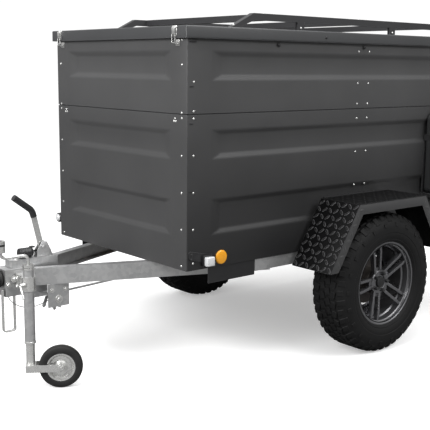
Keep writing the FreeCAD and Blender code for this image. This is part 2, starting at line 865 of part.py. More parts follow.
def rim_body():
    """The barrel and the disc, with a window between each pair of spokes."""
    edge = "tyre_width / 2"
    inside, outside = f"-({edge}) + bead_inset", f"{edge} - bead_inset"
    barrel = "rim_radius - barrel_wall"
    corners = [
        ("0", "disc_offset"),
        (barrel, "disc_offset"),
        (barrel, inside),
        ("rim_radius", inside),
        ("rim_radius", outside),
        ("flange_radius", outside),
        ("flange_radius", f"{outside} + flange_width"),
        ("rim_radius - rim_lip", f"{outside} + flange_width"),
        ("rim_radius - rim_well", "disc_offset + disc_thickness + dish_rise"),
        ("hub_radius", "disc_offset + disc_thickness"),
        ("hub_radius / 2", "disc_offset + disc_thickness + hub_rise"),
        ("0", "disc_offset + disc_thickness + hub_rise"),
    ]
    body = turned("rim", corners)
    doc.recompute()
    before = body.Shape.Volume
    window = outline(body, "XY_Plane", [
        ("-(hub_radius + window_hub_gap)", "-window_hub_half"),
        ("-(rim_radius - window_rim_gap)", "-window_rim_half"),
        ("-(rim_radius - window_rim_gap)", "window_rim_half"),
        ("-(hub_radius + window_hub_gap)", "window_hub_half"),
    ])
    opening = body.newObject("PartDesign::Pocket", "rim_window")
    opening.Profile = window
    opening.Type = "ThroughAll"
    opening.SideType = "Symmetric"
    doc.recompute()
    spread = body.newObject("PartDesign::PolarPattern", "rim_windows")
    spread.Originals = [opening]
    spread.Axis = (window, ["N_Axis"])
    spread.Angle = 360
    spread.setExpression("Occurrences", cells("spoke_window_count"))
    body.Tip = spread
    doc.recompute()
    if body.Shape.Volume > before * 0.99:
        raise ValueError("the rim's windows cut nothing")
    return body


def drum_body():
    """The brake drum and hub, bored for the spindle, from the disc inwards."""
    bore = "spindle_radius + pin_clearance"
    back = "drum_back - tyre_middle"
    return turned("drum", [
        (bore, back),
        ("drum_radius", back),
        ("drum_radius", f"{back} + drum_depth"),
        ("hub_radius", f"{back} + drum_depth"),
        ("hub_radius", "disc_offset"),
        (bore, "disc_offset"),
    ])


def wheels():
    outwards = Rotation(Vector(1, 0, 0), -90)
    for node, body in (("tyre", tyre_body()), ("rim", rim_body()), ("brake_drum", drum_body())):
        place(body, "axle", "tyre_middle", "wheel_radius", outwards)
        keep(node + "_left", body)
        keep(node + "_right", mirror(node + "_right", body))


def fender(name):
    foot, top = "fender_foot_half", "fender_top_half"

    def band(depth, across, y_middle, tag):
        """An arch of three straight plates, as deep as given."""
        slope = 0.55
        corners = [
            (foot, "fender_foot"),
            (top, "fender_top"),
            (f"-{top}", "fender_top"),
            (f"-{foot}", "fender_foot"),
            (f"-{foot} + 1.18 * {depth}", "fender_foot"),
            (f"-{top} + {slope} * {depth}", f"fender_top - {depth}"),
            (f"{top} - {slope} * {depth}", f"fender_top - {depth}"),
            (f"{foot} - 1.18 * {depth}", "fender_foot"),
        ]
        return place(padded(f"{name}_{tag}", "XZ_Plane", corners, across),
                     "axle", y_middle, "0", Rotation())

    cover = band("fender_sheet", "fender_outer - fender_inner",
                 "(fender_inner + fender_outer) / 2", "cover")
    lip = band("fender_lip", "fender_sheet", "fender_outer - fender_sheet / 2", "lip")
    return fuse(name, cover, lip)


def fenders():
    left = keep("fender_left", fender("fender_left"))
    keep("fender_right", mirror("fender_right", left))
    under = "fender_top - fender_sheet"
    x_span = ("axle - bracket_half", "axle + bracket_half")
    rib_face = "half - rib_depth"
    shelf = block("bracket_shelf", x_span, (rib_face, "half + bracket_leg"),
                  (f"{under} - fender_sheet", under))
    leg = block("bracket_leg_piece", x_span, (rib_face, f"{rib_face} + fender_sheet"),
                (f"{under} - bracket_drop", under))
    keep("fender_brackets", pair("fender_brackets", fuse("fender_bracket", shelf, leg)))


# ---------------------------------------------------------------- the jockey wheel

def jockey():
    x, y = "jockey_x", "jockey_side"
    tube = rod("outer_tube_body", "outer_tube_radius", "outer_tube_top - outer_tube_foot",
               (x, y, "outer_tube_foot"))
    bore = rod("outer_tube_hollow", "outer_tube_bore", "outer_tube_top - outer_tube_foot",
               (x, y, "outer_tube_foot"))
    keep("jockey_outer_tube", cut("jockey_outer_tube", tube, bore))
    keep("jockey_inner_tube", rod("jockey_inner_tube", "inner_tube_radius",
                                  "inner_tube_top - inner_tube_foot", (x, y, "inner_tube_foot")))
    z_span = ("clamp_foot", "clamp_foot + clamp_height")
    ring = rod("clamp_ring", "outer_tube_radius + clamp_wall", "clamp_height", (x, y, "clamp_foot"))
    arm = block("clamp_arm_piece", (f"{x} - clamp_arm / 2", f"{x} + clamp_arm / 2"),
                ("nose_half", y), z_span)
    hole = rod("clamp_hole", "outer_tube_radius", "clamp_height", (x, y, "clamp_foot"))
    keep("jockey_clamp", cut("jockey_clamp", fuse("clamp_blank", ring, arm), hole))
    crank(x, y)
    fork_and_wheel(x, y)


def crank(x, y):
    """The winding crank: a cap on the tube, a bent rod and an upright knob."""
    cap = rod("crank_cap", "outer_tube_radius + 2", "crank_cap", (x, y, "outer_tube_top"))
    low = Vector(number(x), number(y), number("outer_tube_top + crank_cap / 2"))
    elbow = Vector(low.x, low.y, number("outer_tube_top + crank_rise"))
    turn = elbow + Vector(number("crank_reach"), 0, 0)
    bent = tube_along("crank_rod", [low, elbow, turn, turn + Vector(0, 0, number("crank_rise"))],
                      number("crank_radius"))
    knob = rod("crank_knob", "knob_radius", "knob_height",
               (f"{x} + crank_reach", y, "outer_tube_top + 1.5 * crank_rise"))
    keep("jockey_crank", fuse("jockey_crank", cap, bent, knob))


def fork_and_wheel(x, y):
    """The fork and its wheel, made in line with +X and then turned to the fork's heading."""
    heading = Rotation(Vector(0, 0, 1), SIZES["fork_heading"])
    radius, trail = "jockey_wheel_radius", "fork_trail"
    arm_foot, arm_top = f"{radius} - fork_arm / 2", f"{radius} + fork_arm / 2"
    socket = rod("fork_socket", "inner_tube_radius", f"inner_tube_foot - ({arm_foot})",
                 ("0", "0", arm_foot))
    yoke = block("fork_yoke", ("-fork_back", f"{trail} + fork_toe"),
                 ("-fork_width / 2", "fork_width / 2"), (arm_foot, arm_top))
    gap = block("fork_gap", ("fork_front", f"{trail} + 2 * fork_toe"),
                ("-(fork_width / 2 - fork_plate)", "fork_width / 2 - fork_plate"),
                (arm_foot, arm_top))
    axle_bolt = rod("fork_axle", "jockey_axle_radius", "fork_width + fork_bolt_ends",
                    (trail, "-(fork_width + fork_bolt_ends) / 2", radius), "y")
    fork = fuse("jockey_fork", socket, cut("fork_arms", yoke, gap), axle_bolt)
    keep("jockey_fork", place(fork, x, y, "0", heading))
    half_width = "jockey_wheel_width / 2"
    tread = turned("jockey_tread", [
        ("jockey_rim_radius", f"-{half_width} + jockey_bead_inset"),
        (f"{radius} - jockey_side_drop", f"-{half_width}"),
        (f"{radius} - jockey_edge_drop", f"-{half_width} + jockey_edge_inset"),
        (radius, f"-{half_width} + jockey_tread_inset"),
        (radius, f"{half_width} - jockey_tread_inset"),
        (f"{radius} - jockey_edge_drop", f"{half_width} - jockey_edge_inset"),
        (f"{radius} - jockey_side_drop", half_width),
        ("jockey_rim_radius", f"{half_width} - jockey_bead_inset"),
    ])
    bore = "jockey_axle_radius + pin_clearance"
    rim = turned("jockey_disc", [
        (bore, f"-{half_width} - jockey_hub_ends"),
        ("jockey_hub_radius", f"-{half_width} - jockey_hub_ends"),
        ("jockey_dish_radius", "-jockey_disc_half"),
        ("jockey_rim_radius - jockey_well", "-jockey_disc_half"),
        ("jockey_rim_radius - jockey_rim_wall", f"-{half_width} + jockey_bead_inset"),
        ("jockey_rim_radius", f"-{half_width} + jockey_bead_inset"),
        ("jockey_rim_radius", f"{half_width} - jockey_bead_inset"),
        ("jockey_rim_radius - jockey_rim_wall", f"{half_width} - jockey_bead_inset"),
        ("jockey_rim_radius - jockey_well", "jockey_disc_half"),
        ("jockey_dish_radius", "jockey_disc_half"),
        ("jockey_hub_radius", f"{half_width} + jockey_hub_ends"),
        (bore, f"{half_width} + jockey_hub_ends"),
    ])
    for node, body in (("jockey_tyre", tread), ("jockey_rim", rim)):
        laid = place(body, trail, "0", radius, TURNS["y"])
        turned_in = group_of(node + "_turned", laid)
        keep(node, place(turned_in, x, y, "0", heading))


# ---------------------------------------------------------------- lamps, can and leads

def lamps():
    bar_top = "light_bar_foot + light_bar_height"
    bar_x = ("rear - light_bar_depth", "rear")
    keep("light_bar", block("light_bar", bar_x, ("-(rail_outer)", "rail_outer"),
                            ("light_bar_foot", bar_top)))
    lamp = block("tail_lamp", ("rear - light_bar_depth - lamp_depth", "rear - light_bar_depth"),
                 ("rail_outer - lamp_length", "rail_outer"),
                 ("light_bar_foot + (light_bar_height - lamp_height) / 2",
                  "light_bar_foot + (light_bar_height + lamp_height) / 2"))
    keep("tail_lamps", pair("tail_lamps", lamp))
    marker = block("marker", ("front - marker_setback - marker_size / 2",
                              "front - marker_setback + marker_size / 2"),
                   ("half", "half + marker_reach"),
                   ("marker_height - marker_size / 2", "marker_height + marker_size / 2"))
    keep("marker_lamps", pair("marker_lamps", marker))


def can_shape(name, x_front, x_rear, z_low, z_high, width):
    """The can's side outline with cut corners, as thick as the can is wide."""
    return padded(name, "XZ_Plane", [
        (x_front, f"{z_low} + can_corner / 2"),
        (x_front, f"{z_high} - can_corner"),
        (f"{x_front} - can_corner", z_high),
        (f"{x_rear} + can_corner", z_high),
        (x_rear, f"{z_high} - can_corner"),
        (x_rear, f"{z_low} + can_corner / 2"),
        (f"{x_rear} + can_corner / 2", z_low),
        (f"{x_front} - can_corner / 2", z_low),
    ], width)


def jerry_can():
    x_front, x_rear = "front - can_setback", "front - can_setback - can_length"
    y_in = "half + holder_sheet"
    y_middle = f"{y_in} + can_width / 2"
    top = "can_foot + can_height"
    outer = can_shape("can_outer", x_front, x_rear, "can_foot", top, "can_width")
    hollow = can_shape("can_hollow", f"{x_front} - can_wall", f"{x_rear} + can_wall",
                       "can_foot + can_wall", f"{top} - can_wall", "can_width - 2 * can_wall")
    neck = rod("can_neck", "can_neck_radius", "2 * can_wall",
               (f"{x_rear} + can_cap_setback", y_middle, f"{top} - 1.5 * can_wall"))
    for piece in (outer, hollow):
        place(piece, "0", y_middle, "0", Rotation())
    keep("jerry_can", cut("can_open", cut("can_shell", outer, hollow), neck))
    keep("can_cap", rod("can_cap_piece", "can_cap_radius", "can_cap_height",
                        (f"{x_rear} + can_cap_setback", y_middle, top)))
    x_span = (f"{x_rear} - holder_margin", f"{x_front} + holder_margin")
    y_out = f"{y_in} + can_width"
    tray = block("holder_tray", x_span, ("half", f"{y_out} + holder_sheet"),
                 ("can_foot - holder_sheet", "can_foot"))
    back = block("holder_back", x_span, ("half", y_in),
                 ("can_foot - holder_sheet", "can_foot + can_height / 2"))
    lip = block("holder_lip_piece", x_span, (y_out, f"{y_out} + holder_sheet"),
                ("can_foot - holder_sheet", "can_foot + holder_lip"))
    keep("can_holder", fuse("can_holder", tray, back, lip))


LEAD_ROUTE = (
    (440, 0, 608),
    (410, -15, 606),
    (382, -45, 598),
    (362, -80, 584),
    (352, -106, 563),
    (350, -112, 540),
)
CABLE_ROUTE = (
    (628, 44, 420),
    (615, 52, 396),
    (588, 60, 374),
    (550, 64, 360),
    (506, 66, 358),
    (468, 68, 366),
    (438, 76, 380),
    (420, 94, 392),
)


def leads():
    """The lighting lead with its parked plug, and the breakaway cable under the nose."""
    foot = "housing_top + 4"
    plug = rod("plug_body", "plug_radius", "plug_length",
               ("front + plug_setback", "0", f"{foot} + plug_radius"), "x")
    rest = block("plug_rest", ("front + plug_setback + plug_radius",
                               "front + plug_setback + plug_length - plug_radius / 2"),
                 ("-plug_radius / 2", "plug_radius / 2"), ("housing_top", f"{foot} + 4"))
    keep("lead_plug", fuse("lead_plug", plug, rest))
    front = number("front")
    exit_point = Vector(number("front + plug_setback"), 0, number(f"{foot} + plug_radius"))
    route = [exit_point] + [Vector(front + x, y, z) for x, y, z in LEAD_ROUTE]
    keep("lighting_lead", tube_along("lighting_lead", route, number("lead_radius")))
    cable = [Vector(front + x, y, z) for x, y, z in CABLE_ROUTE]
    keep("breakaway_cable", tube_along("breakaway_cable", cable, number("cable_radius")))


# ---------------------------------------------------------------- the whole trailer

walls()
corner_posts()
floor_panel()
tailgate()
lid()
roof_rack()
chassis()
drawbar()
drawbar_nose()
coupling()
handbrake()
brake_linkage()
axle_beam()
wheels()
fenders()
jockey()
lamps()
jerry_can()
leads()
doc.recompute()

for part_object in doc.Objects:
    if "Invalid" in part_object.State or "Error" in part_object.State:
        raise ValueError(f"{part_object.Name} did not compute: {part_object.State}")
for node, part_object in nodes.items():
    if part_object.Shape.isNull() or not part_object.Shape.isValid():
        raise ValueError(f"{node} has no valid shape")

os.makedirs("parts", exist_ok=True)
for node, part_object in nodes.items():
    part_object.Shape.exportStep(f"parts/{node}.step")
print(f"{len(nodes)} sub-parts")
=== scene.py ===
import json
import math

import bmesh
import bpy
from mathutils import Matrix, Vector


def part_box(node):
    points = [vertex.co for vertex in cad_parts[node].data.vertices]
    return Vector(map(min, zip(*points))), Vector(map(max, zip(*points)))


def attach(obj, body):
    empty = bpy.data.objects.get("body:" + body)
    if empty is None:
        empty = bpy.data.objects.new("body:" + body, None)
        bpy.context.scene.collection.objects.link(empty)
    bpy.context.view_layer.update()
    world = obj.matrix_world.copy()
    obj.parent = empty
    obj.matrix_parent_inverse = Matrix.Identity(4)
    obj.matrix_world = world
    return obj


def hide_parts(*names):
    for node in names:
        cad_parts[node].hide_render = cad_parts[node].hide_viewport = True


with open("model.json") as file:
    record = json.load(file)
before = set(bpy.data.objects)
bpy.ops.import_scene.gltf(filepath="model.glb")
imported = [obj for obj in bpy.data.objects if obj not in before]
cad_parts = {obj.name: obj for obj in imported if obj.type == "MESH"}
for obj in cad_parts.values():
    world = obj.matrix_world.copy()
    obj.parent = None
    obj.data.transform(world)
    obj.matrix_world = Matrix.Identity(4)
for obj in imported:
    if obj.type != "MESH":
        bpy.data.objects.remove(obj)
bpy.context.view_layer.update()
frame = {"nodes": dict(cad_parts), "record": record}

# ---------------------------------------------------------------- places from the frame
LOW, HIGH = 0, 1
X, Y, Z = 0, 1, 2


def edge(node, side, axis):
    """One face of a CAD node's box, in metres."""
    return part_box(node)[side][axis]


def midpoint(node, axis):
    """The middle of a CAD node's box along an axis, in metres."""
    return (edge(node, LOW, axis) + edge(node, HIGH, axis)) / 2


FRONT = edge("front_wall_lower", HIGH, X)
REAR = edge("corner_posts", LOW, X)
HALF = edge("corner_posts", HIGH, Y)
WALL_FOOT = edge("front_wall_lower", LOW, Z)
SEAM = (edge("front_wall_lower", HIGH, Z) + edge("front_wall_upper", LOW, Z)) / 2
WALL_TOP = edge("front_wall_upper", HIGH, Z)
LID_TOP = edge("lid", HIGH, Z)
RACK_TOP = edge("crossbars", HIGH, Z)
AXLE_X = midpoint("tyre_left", X)
WHEEL_RADIUS = (edge("tyre_left", HIGH, Z) - edge("tyre_left", LOW, Z)) / 2
TYRE_OUT = edge("tyre_left", HIGH, Y)
TYRE_IN = edge("tyre_left", LOW, Y)
JOCKEY_X = midpoint("jockey_outer_tube", X)
JOCKEY_Y = midpoint("jockey_outer_tube", Y)


# ---------------------------------------------------------------- shader groups
def node_group(name, inputs, outputs):
    """An empty shader group with its sockets; returns it with its input and output nodes."""
    tree = bpy.data.node_groups.new(name, "ShaderNodeTree")
    for label, kind, value in inputs:
        socket = tree.interface.new_socket(label, in_out="INPUT", socket_type=kind)
        socket.default_value = value
    for label, kind in outputs:
        tree.interface.new_socket(label, in_out="OUTPUT", socket_type=kind)
    return tree, tree.nodes.new("NodeGroupInput"), tree.nodes.new("NodeGroupOutput")


def add(tree, kind, links=(), **settings):
    """A node with its settings, its sockets set to values or linked to other sockets."""
    node = tree.nodes.new(kind)
    for key, value in settings.items():
        setattr(node, key, value)
    for key, value in dict(links).items():
        if isinstance(value, bpy.types.NodeSocket):
            tree.links.new(value, node.inputs[key])
        else:
            node.inputs[key].default_value = value
    return node


def own_place(tree):
    """The object's own coordinates."""
    return add(tree, "ShaderNodeTexCoord").outputs["Object"]


def noise(tree, scale, detail, **more):
    """Soft clouds over the object's own coordinates."""
    sockets = {"Vector": own_place(tree), "Scale": scale, "Detail": detail, **more}
    return add(tree, "ShaderNodeTexNoise", sockets).outputs["Fac"]


def worked(tree, operation, first, second):
    """The result of one sum on two numbers."""
    return add(tree, "ShaderNodeMath", {0: first, 1: second}, operation=operation).outputs[0]


def ranged(tree, value, low, high, source=(0.3, 0.7)):
    """A number that runs from low to high as a mask runs through its source range."""
    node = add(tree, "ShaderNodeMapRange", {"Value": value, "From Min": source[0], "From Max": source[1],
        "To Min": low, "To Max": high})
    return node.outputs["Result"]


def send(tree, target, **values):
    """Links each socket to the input of the same name."""
    for label, value in values.items():
        tree.links.new(value, target.inputs[label.replace("_", " ")])


def fixed(shader, **values):
    """Sets the shader's inputs to constants."""
    for label, value in values.items():
        shader.inputs[label.replace("_", " ")].default_value = value


def coat_group():
    """Powder coat: cloudy tone, fine orange peel."""
    tree, given, out = node_group("coat", [("Cloud Scale", "NodeSocketFloat", 3.0),
        ("Peel Scale", "NodeSocketFloat", 900.0)], [("Tone", "NodeSocketFloat"),
        ("Height", "NodeSocketFloat")])
    clouds = noise(tree, given.outputs["Cloud Scale"], 4.0, Roughness=0.6)
    send(tree, out, Tone=clouds, Height=noise(tree, given.outputs["Peel Scale"], 2.0))
    return tree


def wear_and_shade_group():
    """Where edges are rubbed, and painted shade in the hollows that ambient occlusion finds."""
    tree, given, out = node_group("edge_wear_and_hollow_shade", [("Amount", "NodeSocketFloat", 0.5),
        ("Break Up", "NodeSocketFloat", 60.0)], [("Edge", "NodeSocketFloat"),
        ("Hollow", "NodeSocketFloat")])
    shape = add(tree, "ShaderNodeNewGeometry")
    softened = add(tree, "ShaderNodeBevel", {"Radius": 0.003}, samples=4)
    likeness = add(tree, "ShaderNodeVectorMath", {0: softened.outputs["Normal"],
        1: shape.outputs["Normal"]}, operation="DOT_PRODUCT")
    raised = ranged(tree, likeness.outputs["Value"], 0.0, 1.0, (0.99, 0.9))
    # Painted shade: ambient occlusion picks out the hollows, and the zinc finishes darken them as if
    # shaded.
    open_air = add(tree, "ShaderNodeAmbientOcclusion", {"Distance": 0.02}, samples=4)
    painted_hollow_shade = ranged(tree, open_air.outputs["AO"], 0.0, 1.0, (0.75, 0.35))
    rubbed = worked(tree, "MULTIPLY", raised, noise(tree, given.outputs["Break Up"], 5.0))
    send(tree, out, Edge=worked(tree, "MULTIPLY", rubbed, given.outputs["Amount"]), Hollow=painted_hollow_shade)
    return tree


def spangle_group():
    """Zinc: overlapping crystals with their own tone, and dull blooms."""
    tree, given, out = node_group("spangle", [("Crystal Scale", "NodeSocketFloat", 60.0),
        ("Bloom Scale", "NodeSocketFloat", 9.0)], [("Tone", "NodeSocketFloat"),
        ("Dullness", "NodeSocketFloat"), ("Height", "NodeSocketFloat")])
    crystals = add(tree, "ShaderNodeTexVoronoi", {"Vector": own_place(tree),
        "Scale": given.outputs["Crystal Scale"]})
    tone = add(tree, "ShaderNodeSeparateColor", {"Color": crystals.outputs["Color"]})
    bloom = noise(tree, given.outputs["Bloom Scale"], 6.0, Roughness=0.65)
    send(tree, out, Tone=tone.outputs["Red"], Dullness=bloom, Height=noise(tree, 400.0, 3.0))
    return tree


COAT, WEAR_AND_SHADE, SPANGLE = coat_group(), wear_and_shade_group(), spangle_group()


# ---------------------------------------------------------------- materials
def blank_material(name):
    """A new node material, its tree and its main shader."""
    material = bpy.data.materials.new(name)
    material.use_nodes = True
    tree = material.node_tree
    return material, tree, tree.nodes["Principled BSDF"]


def grouped(tree, group, **values):
    """One use of a shader group with its inputs set."""
    node = add(tree, "ShaderNodeGroup", node_tree=group)
    fixed(node, **values)
    return node


def scaled(colour, share):
    """A colour made darker or lighter."""
    return tuple(part * share for part in colour)


def mixed(tree, mask, low, high):
    """A colour that runs from low to high with a mask."""
    mix = add(tree, "ShaderNodeMix", data_type="RGBA")
    for socket, value in ((mix.inputs[0], mask), (mix.inputs[6], low), (mix.inputs[7], high)):
        if isinstance(value, bpy.types.NodeSocket):
            tree.links.new(value, socket)
        elif socket.type == "RGBA":
            socket.default_value = (*value, 1.0)
        else:
            socket.default_value = value
    return mix.outputs[2]


def bumped(tree, shader, height, strength, distance):
    """Fine relief from a height mask."""
    bump = add(tree, "ShaderNodeBump", {"Height": height, "Strength": strength, "Distance": distance})
    send(tree, shader, Normal=bump.outputs["Normal"])


def coated(name, colour, rough, peel=900.0, peel_depth=0.0002, bare=(0.3, 0.3, 0.31), rub=0.35,
        metallic=0.0, shine=0.5):
    """Paint or moulded plastic with a fine skin, cloudy tone and rubbed edges."""
    material, tree, shader = blank_material(name)
    coat = grouped(tree, COAT, Peel_Scale=peel)
    wear_and_shade = grouped(tree, WEAR_AND_SHADE, Amount=rub)
    darker = scaled(colour, 0.93)
    lighter = tuple(min(1.0, part) for part in scaled(colour, 1.07))
    toned = mixed(tree, ranged(tree, coat.outputs["Tone"], 0.0, 1.0), darker, lighter)
    worn = mixed(tree, wear_and_shade.outputs["Edge"], toned, bare)
    gloss = ranged(tree, coat.outputs["Tone"], rough - 0.02, rough + 0.025)
    send(tree, shader, Base_Color=worn, Roughness=gloss)
    fixed(shader, Metallic=metallic, Specular_IOR_Level=shine)
    bumped(tree, shader, coat.outputs["Height"], 0.35, peel_depth)
    return material


def zinc_coated(name, light, dark, rough, crystal=60.0):
    """Galvanised or bright zinc steel."""
    material, tree, shader = blank_material(name)
    zinc = grouped(tree, SPANGLE, Crystal_Scale=crystal)
    wear_and_shade = grouped(tree, WEAR_AND_SHADE, Amount=0.5)
    toned = mixed(tree, ranged(tree, zinc.outputs["Tone"], 0.0, 1.0, (0.0, 1.0)), dark, light)
    dulled = mixed(tree, ranged(tree, zinc.outputs["Dullness"], 0.0, 0.55, (0.45, 0.75)), toned,
        scaled(light, 0.9))
    # Painted shade: hollows found by ambient occlusion are darkened towards a near-black tone of the
    # zinc.
    shaded_in_hollows = mixed(tree, wear_and_shade.outputs["Hollow"], dulled, scaled(dark, 0.45))
    gloss = ranged(tree, zinc.outputs["Dullness"], rough - 0.08, rough + 0.15)
    send(tree, shader, Base_Color=shaded_in_hollows, Roughness=gloss)
    fixed(shader, Metallic=0.85)
    bumped(tree, shader, zinc.outputs["Height"], 0.25, 0.0003)
    return material


def rubber_like(name, colour, rough, dust=(0.1, 0.095, 0.085)):
    """Rubber with dust on its rubbed edges."""
    material, tree, shader = blank_material(name)
    coat = grouped(tree, COAT, Cloud_Scale=14.0, Peel_Scale=500.0)
    wear_and_shade = grouped(tree, WEAR_AND_SHADE, Amount=0.4, Break_Up=30.0)
    toned = mixed(tree, ranged(tree, coat.outputs["Tone"], 0.0, 1.0), colour, scaled(colour, 1.7))
    dusty = mixed(tree, wear_and_shade.outputs["Edge"], toned, dust)
    gloss = ranged(tree, coat.outputs["Tone"], rough - 0.08, rough + 0.08)
    send(tree, shader, Base_Color=dusty, Roughness=gloss)
    fixed(shader, Specular_IOR_Level=0.28)
    bumped(tree, shader, coat.outputs["Height"], 0.5, 0.0004)
    return material


def lens(name, colour):
    """A moulded lamp lens with its fluted inner face."""
    material, tree, shader = blank_material(name)
    flutes = add(tree, "ShaderNodeTexWave", {"Vector": own_place(tree), "Scale": 60.0,
        "Distortion": 0.0}, bands_direction="Z")
    toned = mixed(tree, flutes.outputs["Fac"], scaled(colour, 0.7), colour)
    send(tree, shader, Base_Color=toned)
    fixed(shader, Roughness=0.12, Coat_Weight=0.6)
    bumped(tree, shader, flutes.outputs["Fac"], 0.3, 0.0006)
    return material


def plywood():
    """Film-faced ply with its grain along the trailer."""
    material, tree, shader = blank_material("plywood")
    stretch = add(tree, "ShaderNodeMapping", {"Vector": own_place(tree), "Scale": (2.0, 30.0, 30.0)})
    grain = add(tree, "ShaderNodeTexNoise", {"Vector": stretch.outputs["Vector"], "Scale": 3.0,
        "Detail": 8.0, "Distortion": 0.6})
    toned = mixed(tree, grain.outputs["Fac"], (0.1, 0.06, 0.035), (0.24, 0.16, 0.09))
    send(tree, shader, Base_Color=toned)
    fixed(shader, Roughness=0.55)
    bumped(tree, shader, grain.outputs["Fac"], 0.3, 0.0004)
    return material


def wall_paint_with_painted_shade():
    """The walls' satin coat, with painted shade that darkens it towards the foot on all but the front,
    which is kept lit.
    """
    material = coated("box_paint", (0.06, 0.06, 0.061), 0.4, shine=0.42)
    tree = material.node_tree
    shader = tree.nodes["Principled BSDF"]
    parts = add(tree, "ShaderNodeSeparateXYZ", {"Vector": own_place(tree)})
    # Painted shade: the coat stays lit high up and where it faces ahead, and is shaded lower down on the
    # sides and rear.
    height = ranged(tree, parts.outputs["Z"], 0.0, 1.0, (0.58, 1.3))
    facing_side = add(tree, "ShaderNodeSeparateXYZ",
        {"Vector": add(tree, "ShaderNodeNewGeometry").outputs["True Normal"]})
    ahead = worked(tree, "MULTIPLY", facing_side.outputs["X"], 0.8)
    clear_of_painted_shade = worked(tree, "MAXIMUM", ahead, height)
    coat = shader.inputs["Base Color"].links[0].from_socket
    # Painted shade: this near-black colour stands for the shade towards the foot of the side and rear
    # walls.
    send(tree, shader, Base_Color=mixed(tree, clear_of_painted_shade, (0.016, 0.016, 0.0165), coat))
    return material


MATERIALS = {
    "box_paint": wall_paint_with_painted_shade(),
    "lid_paint": coated("lid_paint", (0.04, 0.041, 0.043), 0.4),
    "rack_paint": coated("rack_paint", (0.028, 0.028, 0.03), 0.45),
    "black_steel": coated("black_steel", (0.014, 0.014, 0.015), 0.48),
    "rim_paint": coated("rim_paint", (0.2, 0.2, 0.21), 0.27, rub=0.6, bare=(0.6, 0.6, 0.6),
                        metallic=0.85),
    "can_paint": coated("can_paint", (0.03, 0.031, 0.032), 0.38),
    # Painted highlight: the fender is one chequer sheet, and its lugs and lip are lighter copies of the
    # plate's black where they catch the light.
    "checker_plate": coated("checker_plate", (0.002, 0.002, 0.0022), 0.5, rub=0.4, shine=0.1),
    "checker_lugs_painted_highlight": coated("checker_lugs_painted_highlight", (0.009, 0.009, 0.0092), 0.45, rub=0.5, shine=0.22),
    "checker_lip_painted_highlight": coated("checker_lip_painted_highlight", (0.05, 0.05, 0.051), 0.42, rub=0.9, shine=0.4,
                          bare=(0.35, 0.35, 0.35)),
    "black_plastic": coated("black_plastic", (0.016, 0.016, 0.017), 0.42, peel=600.0, rub=0.1),
    "cast_iron": coated("cast_iron", (0.07, 0.062, 0.056), 0.62, peel=300.0, peel_depth=0.0006),
    "galvanised": zinc_coated("galvanised", (0.66, 0.66, 0.66), (0.54, 0.545, 0.55), 0.36),
    "zinc": zinc_coated("zinc", (0.86, 0.86, 0.84), (0.74, 0.74, 0.73), 0.22, crystal=180.0),
    "steel_cable": zinc_coated("steel_cable", (0.36, 0.36, 0.36), (0.22, 0.22, 0.22), 0.4,
                               crystal=500.0),
    "tyre": rubber_like("tyre", (0.004, 0.004, 0.0042), 0.7, (0.02, 0.019, 0.018)),
    "rubber": rubber_like("rubber", (0.014, 0.014, 0.014), 0.6),
    "lead_sheath": rubber_like("lead_sheath", (0.012, 0.012, 0.012), 0.5),
    "lamp_red": lens("lamp_red", (0.45, 0.012, 0.01)),
    "lamp_clear": lens("lamp_clear", (0.78, 0.79, 0.8)),
    "lamp_amber": lens("lamp_amber", (1.0, 0.42, 0.01)),
    "plate_white": coated("plate_white", (0.7, 0.71, 0.7), 0.35, rub=0.1),
    "plywood": plywood(),
}
SLOTS = {part["node"]: part["material_slot"] for part in frame["record"]["subparts"]}
for node, cad_object in frame["nodes"].items():
    cad_object.data.materials.clear()
    cad_object.data.materials.append(MATERIALS[SLOTS[node]])


# ---------------------------------------------------------------- mesh helpers
IDENTITY = Matrix.Identity(4)
AHEAD, LEFT, UP = (1, 0, 0), (0, 1, 0), (0, 0, 1)


def finished(name, mesh, body, material=None, smooth_angle=None):
    """Turns a bmesh into an object at the origin, riding on a body of the model."""
    bmesh.ops.recalc_face_normals(mesh, faces=mesh.faces)
    if smooth_angle:
        limit = math.radians(smooth_angle)
        for face in mesh.faces:
            face.smooth = True
        for seam in mesh.edges:
            seam.smooth = len(seam.link_faces) == 2 and seam.calc_face_angle(0.0) < limit
    data = bpy.data.meshes.new(name)
    mesh.to_mesh(data)
    mesh.free()
    piece = bpy.data.objects.new(name, data)
    bpy.context.scene.collection.objects.link(piece)
    if material:
        data.materials.append(MATERIALS[material])
    if body:
        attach(piece, body)
    return piece


def placed(source, *places):
    """A new mesh with one bmesh at each place."""
    return merged(bmesh.new(), source, *places)


def merged(target, source, *places):
    """Adds copies of one bmesh to another, one at each place."""
    data = bpy.data.meshes.new("spare")
    source.to_mesh(data)
    source.free()
    for place in places or (IDENTITY,):
        copy = data.copy()
        copy.transform(place)
        if place.determinant() < 0:
            copy.flip_normals()
        target.from_mesh(copy)
        bpy.data.meshes.remove(copy)
    bpy.data.meshes.remove(data)
    return target


def bevelled(mesh, width, segments=2, angle=30):
    """Rounds every edge sharper than an angle."""
    sharp = [e for e in mesh.edges if len(e.link_faces) == 2 and e.calc_face_angle(0.0) > math.radians(
        angle)]
    bmesh.ops.bevel(mesh, geom=sharp, offset=width, offset_type="OFFSET", segments=segments, profile=0.5,
        affect="EDGES", material=-1, clamp_overlap=True)
    return mesh


def block(low, high, bevel=0.0, segments=2):
    """A block between two corners with rounded edges."""
    mesh = bmesh.new()
    bmesh.ops.create_cube(mesh, size=1.0)
    low, high = Vector(low), Vector(high)
    bmesh.ops.scale(mesh, vec=high - low, verts=mesh.verts)
    bmesh.ops.translate(mesh, vec=(low + high) / 2, verts=mesh.verts)
    return bevelled(mesh, bevel, segments) if bevel else mesh


